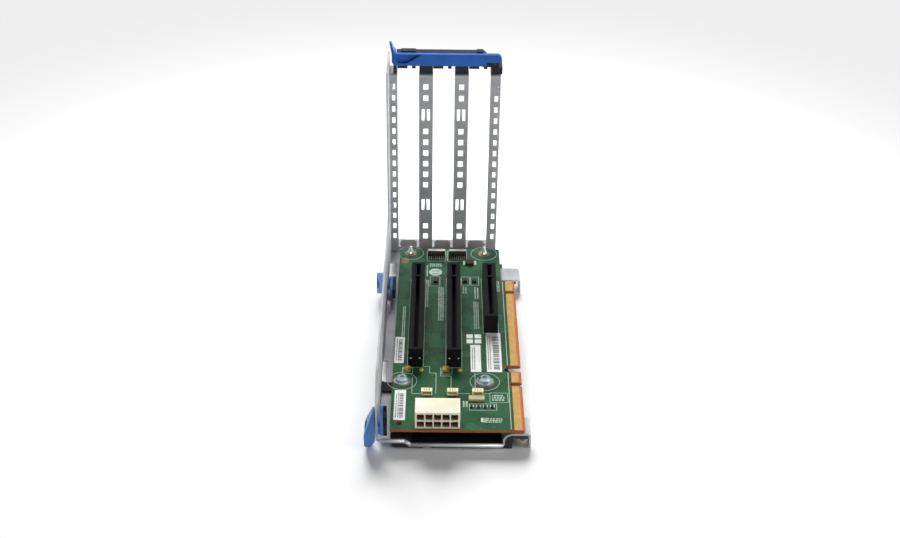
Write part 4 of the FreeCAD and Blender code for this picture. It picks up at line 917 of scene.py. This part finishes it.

# %% [markdown]
# Two pale dots show low on the front end of each long slot, where the mould's pins pushed it out. Their
# paleness is painted highlight, the glints that the shallow round marks catch, so thin pale round slices
# facing forwards are enough.

# %% Painted glints on the mould marks of the long slots
DOT_R = 0.42
DOT_T = 0.05
DOT_OUT = 2.35
DOT_Z = 5.5
upright_slice = Matrix.Rotation(math.radians(90), 4, "X")
mesh = bmesh.new()
for node in SLOT_NODES[:2]:
    for side in (-1, 1):
        place = spot(centre_of(node).x + side * DOT_OUT, corners_of(node)[0].y, DOT_Z)
        bmesh.ops.create_cone(mesh, cap_ends=True, segments=16, radius1=DOT_R * MM, radius2=DOT_R * MM,
                              depth=DOT_T * MM, matrix=Matrix.Translation(place) @ upright_slice)
finish_piece("mould_mark_glints", mesh, chip_white)

# %% [markdown]
# Four paper labels and four small white squares lie on the board. A label is a slightly thicker film
# than ink, with sharp edges. Each has its two corners and a kind: a coded label carries rows of dashes
# and a column of cross bars, a lined one only the rows, and a blank one nothing.

# %% Paper labels
LABEL_T = 0.08
LABELS = ((17.4, -93.2, 25.4, -56.2, "coded"),
          (8.9, -93.3, 14.4, -68.1, "lined"),
          (-31.6, -85.8, -26.5, -61.0, "coded"),
          (-30.3, -135.4, -24.5, -110.0, "coded"),
          (6.9, -61.6, 10.4, -57.8, "blank"),
          (11.3, -61.6, 14.9, -57.8, "blank"),
          (6.9, -66.5, 10.4, -62.7, "blank"),
          (11.3, -66.5, 14.9, -62.7, "blank"))
label_white = moulded("label_white", display(236, 238, 234), display(248, 249, 246), 0.6, 0.72)
mesh = bmesh.new()
for x0, y0, x1, y1, kind in LABELS:
    add_box(mesh, (x0, y0, 0), (x1, y1, LABEL_T))
finish_piece("paper_labels", mesh, label_white)

# %% [markdown]
# The dark bars on the labels lie as a second film on the paper. They are drawn by chance too: the cross
# bars have three heights and three gaps, and the rows beside them are made of short dashes, two rows to
# a label. One seed keeps them the same at every run.

# %% Bars on the labels
LABEL_SEED = 21
LABEL_INK_T = 0.02
BARS_TOP = LABEL_T + LABEL_INK_T
CROSS_HEIGHTS = (0.3, 0.5, 0.8)
CROSS_GAPS = (0.3, 0.45, 0.7)
COLUMN_SHARE = 0.45
COLUMN_MARGIN = 1.1
CROSS_START = 2.0
BARS_STOP = 3.0
DASH_ROWS = 2
DASH_MARGIN = 0.8
DASH_PITCH = 1.1
DASH_START = 2.4
DASH_LENGTHS = (0.5, 1.3)
DASH_GAP = 0.4
DASH_W = 0.45
label_dark = moulded("label_dark", display(60, 62, 66), display(92, 94, 98), 0.6, 0.72)


def label_bars(mesh, chance, x0, y0, x1, y1, kind):
    """Add the dashed rows of a label, and its cross bars where it is coded."""
    y = y0 + CROSS_START
    while y < y1 - BARS_STOP:
        height = chance.choice(CROSS_HEIGHTS)
        if kind == "coded":
            add_box(mesh, (x0 + (x1 - x0) * COLUMN_SHARE, y, LABEL_T),
                    (x1 - COLUMN_MARGIN, y + height, BARS_TOP))
        y += height + chance.choice(CROSS_GAPS)
    for row in range(DASH_ROWS):
        x = x0 + DASH_MARGIN + row * DASH_PITCH
        y = y0 + DASH_START
        while y < y1 - BARS_STOP:
            length = chance.uniform(*DASH_LENGTHS)
            add_box(mesh, (x, y, LABEL_T), (x + DASH_W, y + length, BARS_TOP))
            y += length + DASH_GAP


mesh = bmesh.new()
chance = random.Random(LABEL_SEED)
for x0, y0, x1, y1, kind in LABELS:
    if kind != "blank":
        label_bars(mesh, chance, x0, y0, x1, y1, kind)
finish_piece("label_bars", mesh, label_dark)

# %% [markdown]
# A plain pale floor takes the shadow. It is one plane under the feet. Rays from the camera see it as
# pure white paper, while the light that it throws back onto the object is that of an ordinary pale
# surface. The shadow stays, because the whiteness is a colour and no lamp. Far from the object the
# lamps no longer reach, so there the camera sees a plain pale grey, which fades in with distance.

# %% Floor finish
FADE_START = 0.22
FADE_END = 0.62
FADE_CURVE = 3.0
FAR_WHITE = 0.86
FLOOR_BOUNCE = 0.8


def white_for_view(tree, plain, white, also=()):
    """A value that is white for camera rays and the other named kinds, and plain for the rest."""
    path = tree.nodes.new("ShaderNodeLightPath")
    seen = path.outputs["Is Camera Ray"]
    for kind in also:
        seen = calculate(tree, "MAXIMUM", seen, path.outputs[kind])
    return rescale(tree, seen, 0.0, 1.0, plain, white)


def far_and_seen(tree):
    """1 for camera rays that meet the floor far away, 0 near the object and for all other rays."""
    coordinates = tree.nodes.new("ShaderNodeTexCoord")
    distance = tree.nodes.new("ShaderNodeVectorMath")
    distance.operation = "LENGTH"
    tree.links.new(coordinates.outputs["Object"], distance.inputs[0])
    near = rescale(tree, distance.outputs["Value"], FADE_START, FADE_END, 1.0, 0.0)
    far = calculate(tree, "SUBTRACT", 1.0, calculate(tree, "POWER", near, FADE_CURVE))
    path = tree.nodes.new("ShaderNodeLightPath")
    return calculate(tree, "MULTIPLY", far, path.outputs["Is Camera Ray"])


def studio_paper(name):
    """Pale paper: white to the camera, a little darker as a source of bounced light."""
    material, tree, shader = base_finish(name, display(232, 232, 232), 0.0, 0.9)
    shader.inputs["Specular IOR Level"].default_value = 0.0
    tone = tree.nodes.new("ShaderNodeCombineColor")
    whiteness = white_for_view(tree, FLOOR_BOUNCE, 1.0)
    for channel in ("Red", "Green", "Blue"):
        tree.links.new(whiteness, tone.inputs[channel])
    tree.links.new(tone.outputs["Color"], shader.inputs["Base Color"])
    distant = tree.nodes.new("ShaderNodeEmission")
    distant.inputs["Color"].default_value = (FAR_WHITE, FAR_WHITE, FAR_WHITE, 1.0)
    blend = tree.nodes.new("ShaderNodeMixShader")
    tree.links.new(far_and_seen(tree), blend.inputs["Fac"])
    tree.links.new(shader.outputs["BSDF"], blend.inputs[1])
    tree.links.new(distant.outputs["Emission"], blend.inputs[2])
    tree.links.new(blend.outputs["Shader"], tree.nodes["Material Output"].inputs["Surface"])
    return material


paper = studio_paper("studio_floor")
print("made", paper.name)

# %% [markdown]
# The floor itself is a single square, so large that its far edge melts into the pale surroundings, even
# from a low camera.

# %% Floor
FLOOR_HALF = 4.0
mesh = bmesh.new()
bmesh.ops.create_grid(mesh, x_segments=1, y_segments=1, size=FLOOR_HALF)
floor_data = bpy.data.meshes.new("studio_floor")
mesh.to_mesh(floor_data)
mesh.free()
floor_data.materials.append(paper)
floor = bpy.data.objects.new("studio_floor", floor_data)
bpy.context.collection.objects.link(floor)
print("floor laid,", 2 * FLOOR_HALF, "m wide")

# %% [markdown]
# The shadow in the picture lies just in front of the object, so the main light stands behind it and
# high up. A large area lamp keeps its edge soft. A lamp low on the right models the bars and the left
# wall, and a very weak one low in front keeps the fronts readable without lifting the shadow. The
# main light is kept out of mirrored rays, because its glare would wash out the lacquered board.

# %% Lamps
def softbox(name, place, aim, size, power):
    """A square area lamp that points at a place, in metres and watts."""
    lamp = bpy.data.lights.new(name, "AREA")
    lamp.size = size
    lamp.energy = power
    holder = bpy.data.objects.new(name, lamp)
    holder.location = place
    holder.rotation_euler = (Vector(aim) - Vector(place)).to_track_quat("-Z", "Y").to_euler()
    bpy.context.collection.objects.link(holder)
    return holder


key = softbox("back_softbox", (-0.1, 1.2, 0.88), (0, -0.05, 0), size=1.0, power=46.0)
key.visible_glossy = False
softbox("right_softbox", (1.0, -0.25, 0.2), (0, 0, 0.03), size=0.5, power=8.0)
softbox("front_softbox", (0.3, -1.3, 0.3), (0, 0, 0.03), size=0.6, power=1.7)
print("three lamps, the main one", key.data.energy, "W")

# %% [markdown]
# The world adds an even, weak light. Bare metal needs something bright to mirror, or it turns black, so
# for mirrored and passing rays, as for the camera, the same world is a pale surrounding.

# %% World
WORLD_LIGHT = 0.1
world = bpy.data.worlds.new("studio_world")
bpy.context.scene.world = world
world.use_nodes = True
surroundings = world.node_tree.nodes["Background"]
surroundings.inputs["Color"].default_value = (1, 1, 1, 1)
strength = white_for_view(world.node_tree, WORLD_LIGHT, FAR_WHITE, ("Is Glossy Ray", "Is Transmission Ray"))
world.node_tree.links.new(strength, surroundings.inputs["Strength"])
print("world strength", WORLD_LIGHT, "as light,", FAR_WHITE, "as a view")

# %% [markdown]
# The camera stands where the photographer stood: in front, a little left of the middle slot, looking
# down at thirty-one degrees with a moderately long lens. Its place is given from the board's datum. Two
# cross products give its level and upward directions, and a small roll turns them both.

# %% Camera
CAMERA_PLACE = (-6.7, -689.9, 419.2)
CAMERA_DOWN = math.radians(30.86)
CAMERA_YAW = math.radians(0.38)
CAMERA_ROLL = math.radians(0.76)
LENS = 55.53
SENSOR = 36.0
ahead = Vector((math.sin(CAMERA_YAW) * math.cos(CAMERA_DOWN), math.cos(CAMERA_YAW) * math.cos(CAMERA_DOWN),
                -math.sin(CAMERA_DOWN)))
level = ahead.cross(Vector((0, 0, 1))).normalized()
upward = level.cross(ahead)
right = level * math.cos(CAMERA_ROLL) + upward * math.sin(CAMERA_ROLL)
up = upward * math.cos(CAMERA_ROLL) - level * math.sin(CAMERA_ROLL)
turn = Matrix((right, up, -ahead)).transposed().to_4x4()
lens = bpy.data.cameras.new("photo_camera")
lens.lens = LENS
lens.sensor_width = SENSOR
camera = bpy.data.objects.new("photo_camera", lens)
camera.matrix_world = Matrix.Translation(spot(*CAMERA_PLACE)) @ turn
bpy.context.collection.objects.link(camera)
bpy.context.scene.camera = camera
bpy.context.scene.view_settings.view_transform = "Standard"
print("camera at", [round(v, 3) for v in camera.location])
